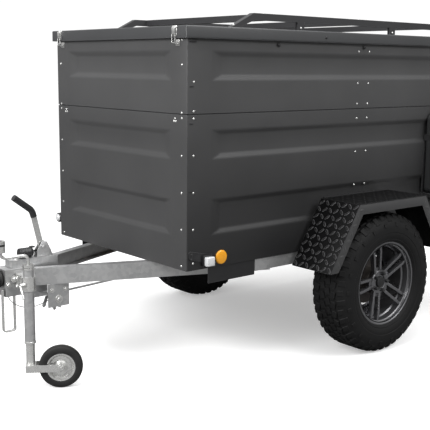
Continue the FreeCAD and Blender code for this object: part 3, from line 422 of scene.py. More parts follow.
def plate(points, thickness, bevel=0.0, segments=2):
    """A flat plate in the XZ plane from its outline of (x, z), as thick as given along Y."""
    mesh = bmesh.new()
    corners = [mesh.verts.new((x, -thickness / 2, z)) for x, z in points]
    face = mesh.faces.new(corners)
    extruded = bmesh.ops.extrude_face_region(mesh, geom=[face])["geom"]
    moved = [v for v in extruded if isinstance(v, bmesh.types.BMVert)]
    bmesh.ops.translate(mesh, vec=(0, thickness, 0), verts=moved)
    bmesh.ops.recalc_face_normals(mesh, faces=mesh.faces)
    return bevelled(mesh, bevel, segments) if bevel else mesh


def lathe(profile, steps=48):
    """A shape turned about Y from an outline of (radius, y)."""
    mesh = bmesh.new()
    line = [mesh.verts.new((radius, y, 0.0)) for radius, y in profile]
    edges = [mesh.edges.new(pair) for pair in zip(line, line[1:])]
    bmesh.ops.spin(mesh, geom=line + edges, cent=(0, 0, 0), axis=(0, 1, 0), dvec=(0, 0, 0),
        angle=math.tau, steps=steps, use_merge=True, use_duplicate=False)
    bmesh.ops.remove_doubles(mesh, verts=mesh.verts, dist=1e-6)
    return mesh


def at(x, y, z):
    """A placement moved and not turned."""
    return Matrix.Translation((x, y, z))


def turned(degrees, axis):
    """A placement turned about an axis through the origin."""
    return Matrix.Rotation(math.radians(degrees), 4, axis)


def ring(count, shift=0.0):
    """Turns about Y, evenly spaced round a wheel."""
    return [Matrix.Rotation(math.tau * (index + shift) / count, 4, "Y") for index in range(count)]


def facing(place, along):
    """A placement whose Y axis looks along a direction."""
    along = Vector(along).normalized()
    return Matrix.Translation(place) @ Vector((0, 1, 0)).rotation_difference(along).to_matrix().to_4x4()


def tube(path, radius, sides=12):
    """A round bar that follows a path of points."""
    mesh = bmesh.new()
    path = [Vector(point) for point in path]
    rings = []
    for index, point in enumerate(path):
        before, after = path[max(index - 1, 0)], path[min(index + 1, len(path) - 1)]
        turn = Vector((0, 0, 1)).rotation_difference((after - before).normalized())
        made = bmesh.ops.create_circle(mesh, cap_ends=False, segments=sides, radius=radius,
            matrix=Matrix.Translation(point) @ turn.to_matrix().to_4x4())
        rings.append(list({e for v in made["verts"] for e in v.link_edges}))
    for low, high in zip(rings, rings[1:]):
        bmesh.ops.bridge_loops(mesh, edges=low + high)
    bmesh.ops.holes_fill(mesh, edges=rings[0] + rings[-1], sides=sides)
    return mesh


def rounded(path, radius, steps=6):
    """A path with each inner corner replaced by an arc."""
    path = [Vector(point) for point in path]
    result = [path[0]]
    for before, corner, after in zip(path, path[1:], path[2:]):
        into, out = (before - corner), (after - corner)
        reach = min(radius, into.length / 2.1, out.length / 2.1)
        start, end = corner + into.normalized() * reach, corner + out.normalized() * reach
        for step in range(steps + 1):
            t = step / steps
            result.append(start.lerp(corner, t).lerp(corner.lerp(end, t), t))
    result.append(path[-1])
    return result


def two_faced(profile):
    """An outline of (radius, y) and its mirror image below y = 0."""
    return profile + [(radius, -y) for radius, y in reversed(profile)]


def dome(radius, height, steps=16):
    """A rivet or bolt head turned about Y, with its foot at the origin."""
    return lathe([(radius, -0.0005), (radius, height * 0.25), (radius * 0.8, height * 0.75),
        (radius * 0.4, height), (0.0, height)], steps)


def bolt(radius, height, washer=0.0):
    """A six-sided bolt head on its washer, looking along Y."""
    mesh = lathe([(0.0, height), (radius * 0.9, height), (radius, height * 0.85), (radius, -0.0005)], 6)
    if washer:
        rim = lathe([(radius * 0.5, washer * 1.01), (radius * 1.55, washer),
            (radius * 1.6, washer * 0.6), (radius * 1.6, -0.0005)], 24)
        merged(mesh, rim)
    return mesh


def mirrored(places):
    """The places and their mirror images across the trailer."""
    return list(places) + [flipped(-1) @ place for place in places]


def flipped(sign):
    """Mirrors across the trailer when the sign is -1."""
    return Matrix.Diagonal((1, sign, 1, 1))


def both_sides(mesh, *places):
    """A piece at each place and at its mirror image."""
    return placed(mesh, *mirrored(places or (IDENTITY,)))


# ---------------------------------------------------------------- ribbed walls
RIB_DEPTH = 0.016
RIB_SLOPE = 0.021
RIB_END = 0.045
SHEET = 0.0025
SEAM_GAP = 0.0028
RIBS_LOWER = ((0.697, 0.862), (1.049, 1.18))
RIBS_UPPER = ((1.405, 1.532),)
SIDE_RIB_INSET = 0.142
FRONT_RIB_INSET = 0.116
MIDDLE = (FRONT + REAR) / 2
RIVET_INSET = 0.038
SIDE_RIVETS = (1.579, 1.397, 1.267, 1.235, 1.069, 0.901, 0.732, 0.575)
SHEET_JOINT_RIVETS = (1.548, 1.385, 1.279, 1.204, 1.028, 0.852)
SHEET_JOINT = (FRONT - 1.135, FRONT - 1.218)
FRONT_RIVETS = (1.579, 1.471, 1.26, 1.236, 1.068, 0.899, 0.731, 0.561)
REAR_RIVETS = (1.579, 1.471, 1.3, 1.236, 1.068, 0.899, 0.731, 0.561)


def wall_strip(corners, low, high, ribs, ribbed, closed):
    """Sheet walls that follow a run of corners, with ribs pressed into some of the runs."""
    mesh = bmesh.new()
    foot = [mesh.verts.new((x, y, low)) for x, y in corners]
    ends = list(zip(foot, foot[1:])) + ([(foot[-1], foot[0])] if closed else [])
    edges = [mesh.edges.new(pair) for pair in ends]
    raised = bmesh.ops.extrude_edge_only(mesh, edges=edges)["geom"]
    top = [v for v in raised if isinstance(v, bmesh.types.BMVert)]
    bmesh.ops.translate(mesh, vec=(0, 0, high - low), verts=top)
    cuts = [(Vector((0, 0, 1)), z) for rib in ribs for z in rib]
    side_limits = (REAR + SIDE_RIB_INSET, FRONT - SIDE_RIB_INSET)
    front_limits = (FRONT_RIB_INSET - HALF, HALF - FRONT_RIB_INSET)
    cuts += [(Vector((1, 0, 0)), x) for x in reversed(side_limits)]
    cuts += [(Vector((0, 1, 0)), y) for y in reversed(front_limits)]
    for normal, distance in cuts:
        bmesh.ops.bisect_plane(mesh, geom=mesh.verts[:] + mesh.edges[:] + mesh.faces[:], dist=1e-6,
            plane_co=normal * distance, plane_no=normal)
    for start, end in ribs:
        for outward in ribbed:
            outward = Vector(outward)
            along = X if outward.y else Y
            limits = side_limits if outward.y else front_limits
            faces = []
            for face in mesh.faces:
                middle = face.calc_center_median()
                flat = abs(face.normal.dot(outward)) > 0.99
                right_side = middle.dot(outward) > 0.3
                inside = start < middle.z < end and limits[0] < middle[along] < limits[1]
                if flat and right_side and inside:
                    faces.append(face)
            bmesh.ops.inset_region(mesh, faces=faces, thickness=RIB_SLOPE, depth=0.0,
                use_even_offset=True, use_boundary=True)
            moved = list({v for face in faces for v in face.verts})
            bmesh.ops.translate(mesh, vec=-outward * RIB_DEPTH, verts=moved)
            for sign, limit in ((1, limits[0]), (-1, limits[1])):
                ends = [v for v in moved if abs(v.co[along] - limit) < RIB_SLOPE * 1.5]
                inwards = Vector((0, 0, 0))
                inwards[along] = sign * RIB_END
                bmesh.ops.translate(mesh, vec=inwards, verts=ends)
    bevelled(mesh, 0.007, 2, 12)
    bmesh.ops.recalc_face_normals(mesh, faces=mesh.faces)
    centre = Vector((MIDDLE, 0, 0))
    outwards = sum(f.normal.dot(f.calc_center_median() - centre) for f in mesh.faces)
    if outwards < 0:
        bmesh.ops.reverse_faces(mesh, faces=mesh.faces)
    bmesh.ops.solidify(mesh, geom=mesh.faces[:], thickness=SHEET)
    return mesh


def walls():
    """The lower ring, open at the tailgate, the closed upper ring and the strips behind their joint."""
    gate_edge = edge("tailgate", HIGH, Y) + 0.005
    lower_run = [(REAR, gate_edge), (REAR, HALF), (FRONT, HALF), (FRONT, -HALF), (REAR, -HALF),
        (REAR, -gate_edge)]
    upper_run = [(REAR, HALF), (FRONT, HALF), (FRONT, -HALF), (REAR, -HALF)]
    sides = ((0, 1, 0), (0, -1, 0), AHEAD)
    lower_mesh = wall_strip(lower_run, WALL_FOOT, SEAM - SEAM_GAP, RIBS_LOWER, sides, False)
    lower = finished("lower_walls", lower_mesh, "chassis", "box_paint", 35)
    every_side = sides + ((-1, 0, 0),)
    upper_mesh = wall_strip(upper_run, SEAM + SEAM_GAP, WALL_TOP, RIBS_UPPER, every_side, True)
    upper = finished("upper_walls", upper_mesh, "chassis", "box_paint", 35)
    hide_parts("left_wall_lower", "right_wall_lower", "front_wall_lower", "corner_posts")
    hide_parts("left_wall_upper", "right_wall_upper", "front_wall_upper", "rear_wall_upper")
    backing = bmesh.new()
    foot, top = SEAM - 0.02, SEAM + 0.02
    for low, high in (((REAR + 0.01, HALF - 0.006, foot), (FRONT - 0.01, HALF - 0.003, top)),
            ((REAR + 0.01, 0.003 - HALF, foot), (FRONT - 0.01, 0.006 - HALF, top)),
            ((FRONT - 0.006, 0.01 - HALF, foot), (FRONT - 0.003, HALF - 0.01, top))):
        merged(backing, block(low, high, 0.0006, 1))
    finished("wall_joint_strips", backing, "chassis", "black_steel")


def rivets():
    """Bright pop rivets at the corners and where two side sheets meet."""
    places = []
    for z in SIDE_RIVETS:
        places.append(facing((FRONT - RIVET_INSET, HALF, z), LEFT))
        places.append(facing((REAR + RIVET_INSET, HALF, z), LEFT))
    for z in SHEET_JOINT_RIVETS:
        for x in SHEET_JOINT:
            places.append(facing((x, HALF, z), LEFT))
    for z in FRONT_RIVETS:
        places.append(facing((FRONT, HALF - RIVET_INSET, z), AHEAD))
    for y, z in ((0.08, 1.221), (0.094, 1.221), (0.087, 1.233)):
        places.append(facing((FRONT, HALF - y, z), AHEAD))
    for z in REAR_RIVETS:
        places.append(facing((REAR, HALF - 0.03, z), (-1, 0, 0)))
    mesh = both_sides(dome(0.0055, 0.0028), *places)
    finished("wall_rivets", mesh, "chassis", "zinc", 40)


def corner_details():
    """Small dark slots at the corners, knobs under the lid and dark stops by the latches."""
    places = []
    for z in (1.377, 1.213, 0.907):
        places += [at(x, HALF + 0.0008, z) for x in (FRONT - 0.024, REAR + 0.024)]
    slots = both_sides(block((-0.011, -0.001, -0.003), (0.011, 0.0008, 0.003), 0.0007, 1), *places)
    finished("corner_slots", slots, "chassis", "black_plastic")
    places = [facing((FRONT - x, HALF - 0.001, 1.57), LEFT) for x in (0.552, 1.172, 1.795)]
    knob = lathe([(0.0, 0.012), (0.006, 0.0115), (0.01, 0.007), (0.007, 0.004), (0.006, 0.0)], 20)
    finished("wall_knobs", both_sides(knob, *places), "chassis", "black_plastic", 40)
    stop = block((-0.02, -0.002, -0.006), (0.02, 0.004, 0.006), 0.001)
    stops = both_sides(stop, at(FRONT - 0.03, HALF + 0.001, 1.576))
    finished("lid_guides", stops, "chassis", "black_plastic", 40)


# ---------------------------------------------------------------- lid and rack
LATCH_Y = 0.494
CROSSBAR_SETBACKS = (0.552, 1.174, 1.796)
CROSSBAR_BOLT_Y = 0.485
RAIL_FOOT_Y = 0.501
RAIL_POSTS = (-0.063, -0.775)


def lid():
    """A folded tray, open below, with hems along its sides and small studs."""
    low, high = (Vector(corner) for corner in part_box("lid"))
    mesh = block(low, high)
    foot = [f for f in mesh.faces if f.normal.z < -0.9]
    bmesh.ops.delete(mesh, geom=foot, context="FACES_ONLY")
    bevelled(mesh, 0.006, 3)
    bmesh.ops.solidify(mesh, geom=mesh.faces[:], thickness=0.003)
    piece = finished("lid_shell", mesh, "lid", "lid_paint", 35)
    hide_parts("lid")
    hems = bmesh.new()
    for side in (1, -1):
        y = side * high.y
        merged(hems, block((low.x + 0.004, min(y, y - side * 0.004), low.z),
            (high.x - 0.004, max(y, y - side * 0.004), low.z + 0.006), 0.0015, 2))
    finished("lid_hems", hems, "lid", "lid_paint", 40)
    knobs = both_sides(dome(0.007, 0.005, 20), *[facing((FRONT - x, high.y, 1.611), LEFT)
        for x in (0.865, 1.8)])
    finished("lid_studs", knobs, "lid", "black_steel", 40)


def rack_bolts():
    """Bolt heads on the crossbars' ends and on the rails' feet."""
    places = []
    for x in sorted(round(FRONT - setback, 4) for setback in CROSSBAR_SETBACKS):
        places += [facing((x + shift, CROSSBAR_BOLT_Y, RACK_TOP - 0.0005), UP)
            for shift in (-0.035, 0.035)]
    for x in (edge("roof_rails", HIGH, X) - 0.02, *RAIL_POSTS, edge("roof_rails", LOW, X) + 0.02):
        places.append(facing((x, RAIL_FOOT_Y, LID_TOP + 0.014), LEFT))
    heads = both_sides(dome(0.0065, 0.003, 20), *places)
    finished("rack_bolts", heads, "lid", "zinc", 40)


def latches():
    """Over-centre latches: a base, a lever, a wire loop and the hook that it draws up."""
    x = edge("lid", HIGH, X)
    y = LATCH_Y
    parts = block((x - 0.001, y - 0.015, 1.594), (x + 0.0025, y + 0.015, 1.641), 0.001)
    lever = plate([(x + 0.0025, 1.6), (x + 0.01, 1.603), (x + 0.0112, 1.63), (x + 0.006, 1.639),
        (x + 0.0025, 1.636)], 0.022, 0.0012, 2)
    merged(parts, lever, at(0, y, 0))
    loop = tube(rounded([(x + 0.008, y - 0.011, 1.606), (x + 0.0085, y - 0.011, 1.566),
        (x + 0.0085, y + 0.011, 1.566), (x + 0.008, y + 0.011, 1.606)], 0.006), 0.0018, 10)
    merged(parts, loop)
    for z in (1.603, 1.632):
        merged(parts, dome(0.003, 0.002, 12), facing((x + 0.0024, y + 0.012, z), AHEAD),
            facing((x + 0.0024, y - 0.012, z), AHEAD))
    both = both_sides(parts)
    piece = finished("toggle_latches", both, "lid", "zinc", 40)
    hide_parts("lid_latches")
    hooks = block((FRONT, y - 0.014, 1.553), (FRONT + 0.003, y + 0.014, 1.584), 0.0008)
    hook = plate([(FRONT + 0.002, 1.56), (FRONT + 0.012, 1.56), (FRONT + 0.014, 1.567),
        (FRONT + 0.011, 1.567), (FRONT + 0.01, 1.564), (FRONT + 0.002, 1.564)], 0.018, 0.0005, 1)
    merged(hooks, hook, at(0, y, 0))
    both = both_sides(hooks)
    finished("latch_hooks", both, "chassis", "zinc", 40)


walls()
rivets()
corner_details()
lid()
rack_bolts()
latches()

# ---------------------------------------------------------------- road wheels
TYRE_HALF = (TYRE_OUT - TYRE_IN) / 2
TYRE_MIDDLE = (TYRE_OUT + TYRE_IN) / 2
RIM_RADIUS = 0.203
AXLE = Vector((AXLE_X, TYRE_MIDDLE, WHEEL_RADIUS))
BARS_AROUND = 44
SPOKES = 5


def spun_places(count, radius, side, lean, shift):
    """Places round the tyre, with X along the tread, Y across it and Z outwards."""
    return [turn @ at(0, side, radius) @ Matrix.Rotation(lean, 4, "Z") for turn in ring(count, shift)]


def tyre():
    """An all-terrain tyre: casing, four rows of tread blocks, shoulder lugs and sidewall nibs."""
    half = TYRE_HALF
    skin = WHEEL_RADIUS - 0.009
    outer = [(RIM_RADIUS, half - 0.024), (0.219, half - 0.021), (0.224, half - 0.014),
        (0.232, half - 0.01), (0.236, half - 0.0105), (0.24, half - 0.0075), (0.262, half - 0.0025),
        (0.268, half - 0.0035), (0.271, half - 0.0015), (0.292, half - 0.0012), (0.306, half - 0.003),
        (0.322, half - 0.0085), (0.338, half - 0.018), (0.35, half - 0.03), (skin, half - 0.045),
        (skin, 0.0)]
    profile = outer + [(radius, -y) for radius, y in reversed(outer[:-1])]
    mesh = lathe(profile, 96)
    groups = []
    for side, width, lean, shift in ((0.0175, 0.029, 0.28, 0.0), (-0.0175, 0.029, 0.28, 0.5),
            (0.053, 0.032, -0.22, 0.25), (-0.053, 0.032, -0.22, 0.75)):
        groups.append((block((-0.0185, -width / 2, -0.006), (0.0185, width / 2, 0.009), 0.0025, 1),
            spun_places(BARS_AROUND, skin - 0.0006, side, lean, shift)))
    for sign in (1, -1):
        offset = 0.25 if sign < 0 else 0
        shoulder = flipped(sign) @ at(0, half - 0.0345, skin - 0.0085) @ turned(-50, "X")
        for reach, shift in ((0.044, 0.0), (0.032, 0.5)):
            lug = block((-0.015, -0.013, -0.01), (0.015, reach - 0.013, 0.008), 0.003, 1)
            groups.append((lug, [turn @ shoulder for turn in ring(BARS_AROUND // 2, shift + offset)]))
        nib = block((-0.01, -0.004, -0.003), (0.01, 0.016, 0.003), 0.0012, 1)
        sidewall = flipped(sign) @ at(0, half - 0.0055, 0.318) @ turned(-76, "X")
        groups.append((nib, [turn @ sidewall for turn in ring(BARS_AROUND // 2, 0.5 + offset)]))
    for piece, places in groups:
        merged(mesh, piece, *places)
    return mesh


def spoke(width_hub, width_rim):
    """One arm of a double spoke, along X from the hub to the rim, and dished."""
    inner, outer = 0.04, RIM_RADIUS - 0.004
    hub_y, rim_y = 0.05, 0.082
    arm = plate([(inner, hub_y - 0.022), (outer, rim_y - 0.026), (outer, rim_y - 0.002),
        (outer - 0.03, rim_y - 0.003), (inner + 0.05, hub_y + 0.012), (inner, hub_y + 0.004)], 1.0)
    for vert in arm.verts:
        share = (vert.co.x - inner) / (outer - inner)
        width = width_hub + (width_rim - width_hub) * share
        vert.co = Vector((vert.co.x, vert.co.z, vert.co.y * width))
    bmesh.ops.recalc_face_normals(arm, faces=arm.faces)
    return bevelled(arm, 0.003, 2)


def rim():
    """The turned well and flanges, the hub, and five double spokes."""
    edge_y = TYRE_HALF - 0.024
    well = [(0.15, -edge_y + 0.03), (0.178, -edge_y + 0.022), (0.186, -edge_y + 0.004),
        (RIM_RADIUS - 0.01, -edge_y), (0.219, -edge_y), (0.219, -edge_y + 0.006),
        (RIM_RADIUS, -edge_y + 0.01), (RIM_RADIUS, edge_y - 0.012), (0.217, edge_y - 0.006),
        (0.2195, edge_y - 0.001), (0.2185, edge_y + 0.0035), (0.213, edge_y + 0.004),
        (0.208, edge_y + 0.0005), (0.2045, edge_y - 0.012), (0.199, edge_y - 0.016),
        (0.195, edge_y - 0.045), (0.188, edge_y - 0.05), (0.185, -edge_y + 0.06), (0.178, -edge_y + 0.03)]
    mesh = lathe(well, 96)
    hub = lathe([(0.0, 0.03), (0.06, 0.03), (0.064, 0.038), (0.064, 0.052), (0.06, 0.057), (0.04, 0.058),
        (0.036, 0.052), (0.0, 0.052)], 48)
    merged(mesh, hub)
    arms = []
    for turn in ring(SPOKES):
        arms += [turn @ at(0, 0, side * 0.0175) @ turned(-side * 3.0, "Y") for side in (1, -1)]
    merged(mesh, spoke(0.017, 0.0145), *arms)
    merged(mesh, block((0.04, 0.03, -0.017), (0.08, 0.05, 0.017), 0.003), *ring(SPOKES))
    return mesh


def rim_trim():
    """The hub cap and the wheel bolts, which sit in the gaps between the double spokes."""
    mesh = lathe([(0.0, 0.0655), (0.02, 0.065), (0.0265, 0.063), (0.0285, 0.059), (0.029, 0.05)], 48)
    nut = lathe([(0.0, 0.018), (0.0075, 0.018), (0.009, 0.016), (0.0105, 0.0)], 6)
    return merged(mesh, nut, *[turn @ at(0.047, 0.056, 0) for turn in ring(SPOKES, 0.5)])


def road_wheels():
    """Each wheel's tyre, rim and hub cap on its own spinning body."""
    for side, sign in (("left", 1), ("right", -1)):
        body = "wheel_" + side
        for name, mesh, material, angle in (("tread_and_casing_", tyre(), "tyre", 32),
                ("spoked_rim_", rim(), "rim_paint", 35), ("hub_cap_", rim_trim(), "black_steel", 35)):
            mesh = placed(mesh, flipped(sign) @ Matrix.Translation(AXLE))
            finished(name + side, mesh, body, material, angle)
        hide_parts("tyre_" + side)
        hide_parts("rim_" + side)


# ---------------------------------------------------------------- fenders
FENDER_IN = edge("fender_left", LOW, Y)
FENDER_OUT = edge("fender_left", HIGH, Y)
FENDER_TOP = edge("fender_left", HIGH, Z)
FENDER_FOOT = edge("fender_left", LOW, Z)
FOOT_HALF = (edge("fender_left", HIGH, X) - edge("fender_left", LOW, X)) / 2
TOP_HALF = FOOT_HALF - 0.2
LUG_PITCH = 0.041


def lug_places(origin, along, across, normal, length, width):
    """Places of raised lugs on a sheet: rows that lean one way and the other in turn."""
    along, across, normal = (Vector(v).normalized() for v in (along, across, normal))
    rows, columns = int(length / LUG_PITCH), int(width / LUG_PITCH)
    result = []
    for row in range(rows + 1):
        for column in range(columns + 1):
            u = (row + 0.5) * length / (rows + 1)
            v = (column + 0.5) * width / (columns + 1)
            place = Vector(origin) + along * u + across * v
            basis = Matrix((along, across, normal)).transposed().to_4x4()
            turn = turned(45 if (row + column) % 2 else -45, "Z")
            result.append(Matrix.Translation(place) @ basis @ turn)
    return result


def lug():
    """One raised lozenge of the chequer plate."""
    mesh = bmesh.new()
    bmesh.ops.create_cone(mesh, cap_ends=True, segments=10, radius1=1.0, radius2=0.45, depth=1.0)
    bmesh.ops.scale(mesh, vec=(0.019, 0.0075, 0.0022), verts=mesh.verts)
    bmesh.ops.translate(mesh, vec=(0, 0, 0.0008), verts=mesh.verts)
    return mesh


def fender():
    """Three facets with rolled edges, the outer lip that follows them and the raised lugs."""
    sheet, lip = 0.003, 0.052
    middle = (FENDER_IN + FENDER_OUT) / 2
    reach = FENDER_OUT - FENDER_IN
    crown = [(-FOOT_HALF, FENDER_FOOT), (-TOP_HALF, FENDER_TOP), (TOP_HALF, FENDER_TOP),
        (FOOT_HALF, FENDER_FOOT)]
    under = [(FOOT_HALF - 0.0035, FENDER_FOOT), (TOP_HALF - 0.0017, FENDER_TOP - sheet),
        (0.0017 - TOP_HALF, FENDER_TOP - sheet), (0.0035 - FOOT_HALF, FENDER_FOOT)]
    mesh = placed(plate(crown + under, reach - 0.001, 0.0012, 2), at(AXLE_X, middle, 0))
    rim_mesh, lugs = bmesh.new(), bmesh.new()
    low_lip = [(FOOT_HALF - 0.062, FENDER_FOOT), (TOP_HALF - 0.029, FENDER_TOP - lip),
        (0.029 - TOP_HALF, FENDER_TOP - lip), (0.062 - FOOT_HALF, FENDER_FOOT)]
    merged(rim_mesh, plate(crown + low_lip, sheet, 0.0012, 2),
        at(AXLE_X, FENDER_OUT - sheet / 2 - 0.002, 0))
    slope = Vector((FOOT_HALF - TOP_HALF, 0, FENDER_FOOT - FENDER_TOP))
    length = slope.length
    for side in (1, -1):
        fall = Vector((side * slope.x, 0, slope.z))
        outward = Vector((-fall.z * side, 0, fall.x * side)).normalized()
        start = Vector((AXLE_X + side * TOP_HALF, FENDER_IN, FENDER_TOP))
        merged(lugs, lug(), *lug_places(start, fall, (0, 1, 0), outward, length, reach))
    start = Vector((AXLE_X - TOP_HALF, FENDER_IN, FENDER_TOP - 0.0012))
    merged(lugs, lug(), *lug_places(start, (1, 0, 0), (0, 1, 0), (0, 0, 1), 2 * TOP_HALF, reach))
    lip_lugs = []
    for side in (1, -1):
        fall = Vector((side * slope.x, 0, slope.z)).normalized()
        count = int(length / LUG_PITCH)
        for index in range(count):
            place = (Vector((AXLE_X + side * (TOP_HALF - 0.024), FENDER_OUT - 0.002, FENDER_TOP - 0.014))
                + fall * (index + 0.5) * length / count)
            if place.z < FENDER_FOOT + 0.012:
                continue
            basis = Matrix((fall, Vector((0, 1, 0)).cross(fall), Vector((0, 1, 0)))).transposed().to_4x4()
            lip_lugs.append(Matrix.Translation(place) @ basis @ turned(45 if index % 2 else -45, "Z"))
    merged(rim_mesh, lug(), *lip_lugs)
    # The lugs and the lip take the lighter copies of the plate's colour, a painted highlight.
    return (("chequer_fender_", mesh, "checker_plate"), ("fender_lip_", rim_mesh, "checker_lip_painted_highlight"),
        ("fender_lugs_", lugs, "checker_lugs_painted_highlight"))


def fenders():
    """Both fenders, the right one mirrored."""
    for side, sign in (("left", 1), ("right", -1)):
        for name, mesh, material in fender():
            mesh = placed(mesh, flipped(sign))
            piece = finished(name + side, mesh, "chassis", material, 40)
            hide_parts("fender_" + side)


def side_marker():
    """A marker lamp on a short rubber arm at the far front corner."""
    arm = block((FRONT - 0.034, -HALF - 0.034, 0.618), (FRONT - 0.014, -HALF + 0.001, 0.64), 0.005, 3)
    merged(arm, lathe([(0.0, 0.03), (0.022, 0.03), (0.026, 0.026), (0.026, 0.0), (0.0, -0.001)], 32),
        facing((FRONT - 0.04, -HALF - 0.044, 0.629), AHEAD))
    finished("side_marker_arm", arm, "chassis", "black_plastic", 40)
    glass = lathe([(0.0, 0.01), (0.014, 0.008), (0.021, 0.0), (0.0, -0.001)], 32)
    glass = placed(glass, facing((FRONT - 0.011, -HALF - 0.044, 0.629), AHEAD))
    finished("side_marker_glass", glass, "chassis", "lamp_clear", 40)


# ---------------------------------------------------------------- lamps, reflectors and plate
def front_lamps():
    """White marker lamps on black brackets, with a round amber reflector behind each."""
    (x_low, _, z_low), (x_high, y_high, z_high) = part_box("marker_lamps")
    lens_mesh = block((x_low + 0.004, HALF + 0.016, z_low + 0.002),
        (x_high - 0.001, y_high, z_high - 0.006), 0.006, 3)
    lenses = both_sides(lens_mesh)
    piece = finished("marker_lenses", lenses, "chassis", "lamp_clear", 40)
    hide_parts("marker_lamps")
    base = block((x_low, HALF + 0.004, z_low - 0.001), (x_high + 0.002, HALF + 0.018, z_high - 0.001),
        0.003, 2)
    arm = plate([(x_low - 0.01, z_low - 0.002), (FRONT - 0.012, z_high - 0.01),
        (FRONT - 0.01, z_high + 0.02), (FRONT - 0.02, z_high + 0.026), (x_high + 0.004, z_high + 0.01),
        (x_low - 0.01, z_high)], 0.004, 0.001, 1)
    merged(base, arm, at(0, HALF + 0.0025, 0))
    merged(base, bolt(0.005, 0.004, 0.001), facing((FRONT - 0.026, HALF + 0.0045, z_high + 0.01), LEFT),
        facing((FRONT - 0.026, HALF + 0.0045, z_high - 0.012), LEFT))
    brackets = both_sides(base)
    finished("marker_brackets", brackets, "chassis", "black_plastic", 40)
    disc = lathe([(0.0, 0.0085), (0.026, 0.008), (0.031, 0.0068), (0.0335, 0.004), (0.034, 0.0)], 40)
    discs = both_sides(disc, facing((FRONT - 0.207, HALF, 0.584), LEFT))
    finished("amber_reflectors", discs, "chassis", "lamp_amber", 40)


def rear_lamps():
    """Three-chamber tail lamps in a black frame and a bare number plate between them."""
    low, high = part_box("tail_lamps")
    bar_low, bar_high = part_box("light_bar")
    inner = high[Y] - 0.2
    frame_mesh = block((bar_low[X] - 0.014, inner, low[Z]), (bar_low[X], high[Y], high[Z]), 0.004, 2)
    frames = both_sides(frame_mesh)
    finished("tail_lamp_frames", frames, "chassis", "black_plastic", 40)
    cuts = ((0.004, 0.062, "lamp_amber"), (0.066, 0.14, "lamp_red"), (0.144, 0.196, "lamp_clear"))
    pieces = []
    for index, (start, end, material) in enumerate(cuts):
        cell = block((low[X], high[Y] - end, low[Z] + 0.004),
            (bar_low[X] - 0.01, high[Y] - start, high[Z] - 0.004), 0.006, 3)
        both = both_sides(cell)
        pieces.append(finished("tail_lens_%d" % index, both, "chassis", material, 40))
    for piece in pieces:
        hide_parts("tail_lamps")
    number = block((bar_low[X] - 0.004, -0.26, bar_low[Z] + 0.002),
        (bar_low[X] - 0.001, 0.26, bar_high[Z]), 0.001)
    finished("bare_number_plate", number, "chassis", "plate_white", 40)


road_wheels()
fenders()
front_lamps()
rear_lamps()
side_marker()

# ---------------------------------------------------------------- drawbar nose
LEVER_X = edge("handbrake_lever", LOW, X) + 0.015
PLATE_FACE = 0.1062
NOSE_FACE = 0.048
JOCKEY_HEADING = math.radians(148)
LINK_X = midpoint("linkage_plates", X)


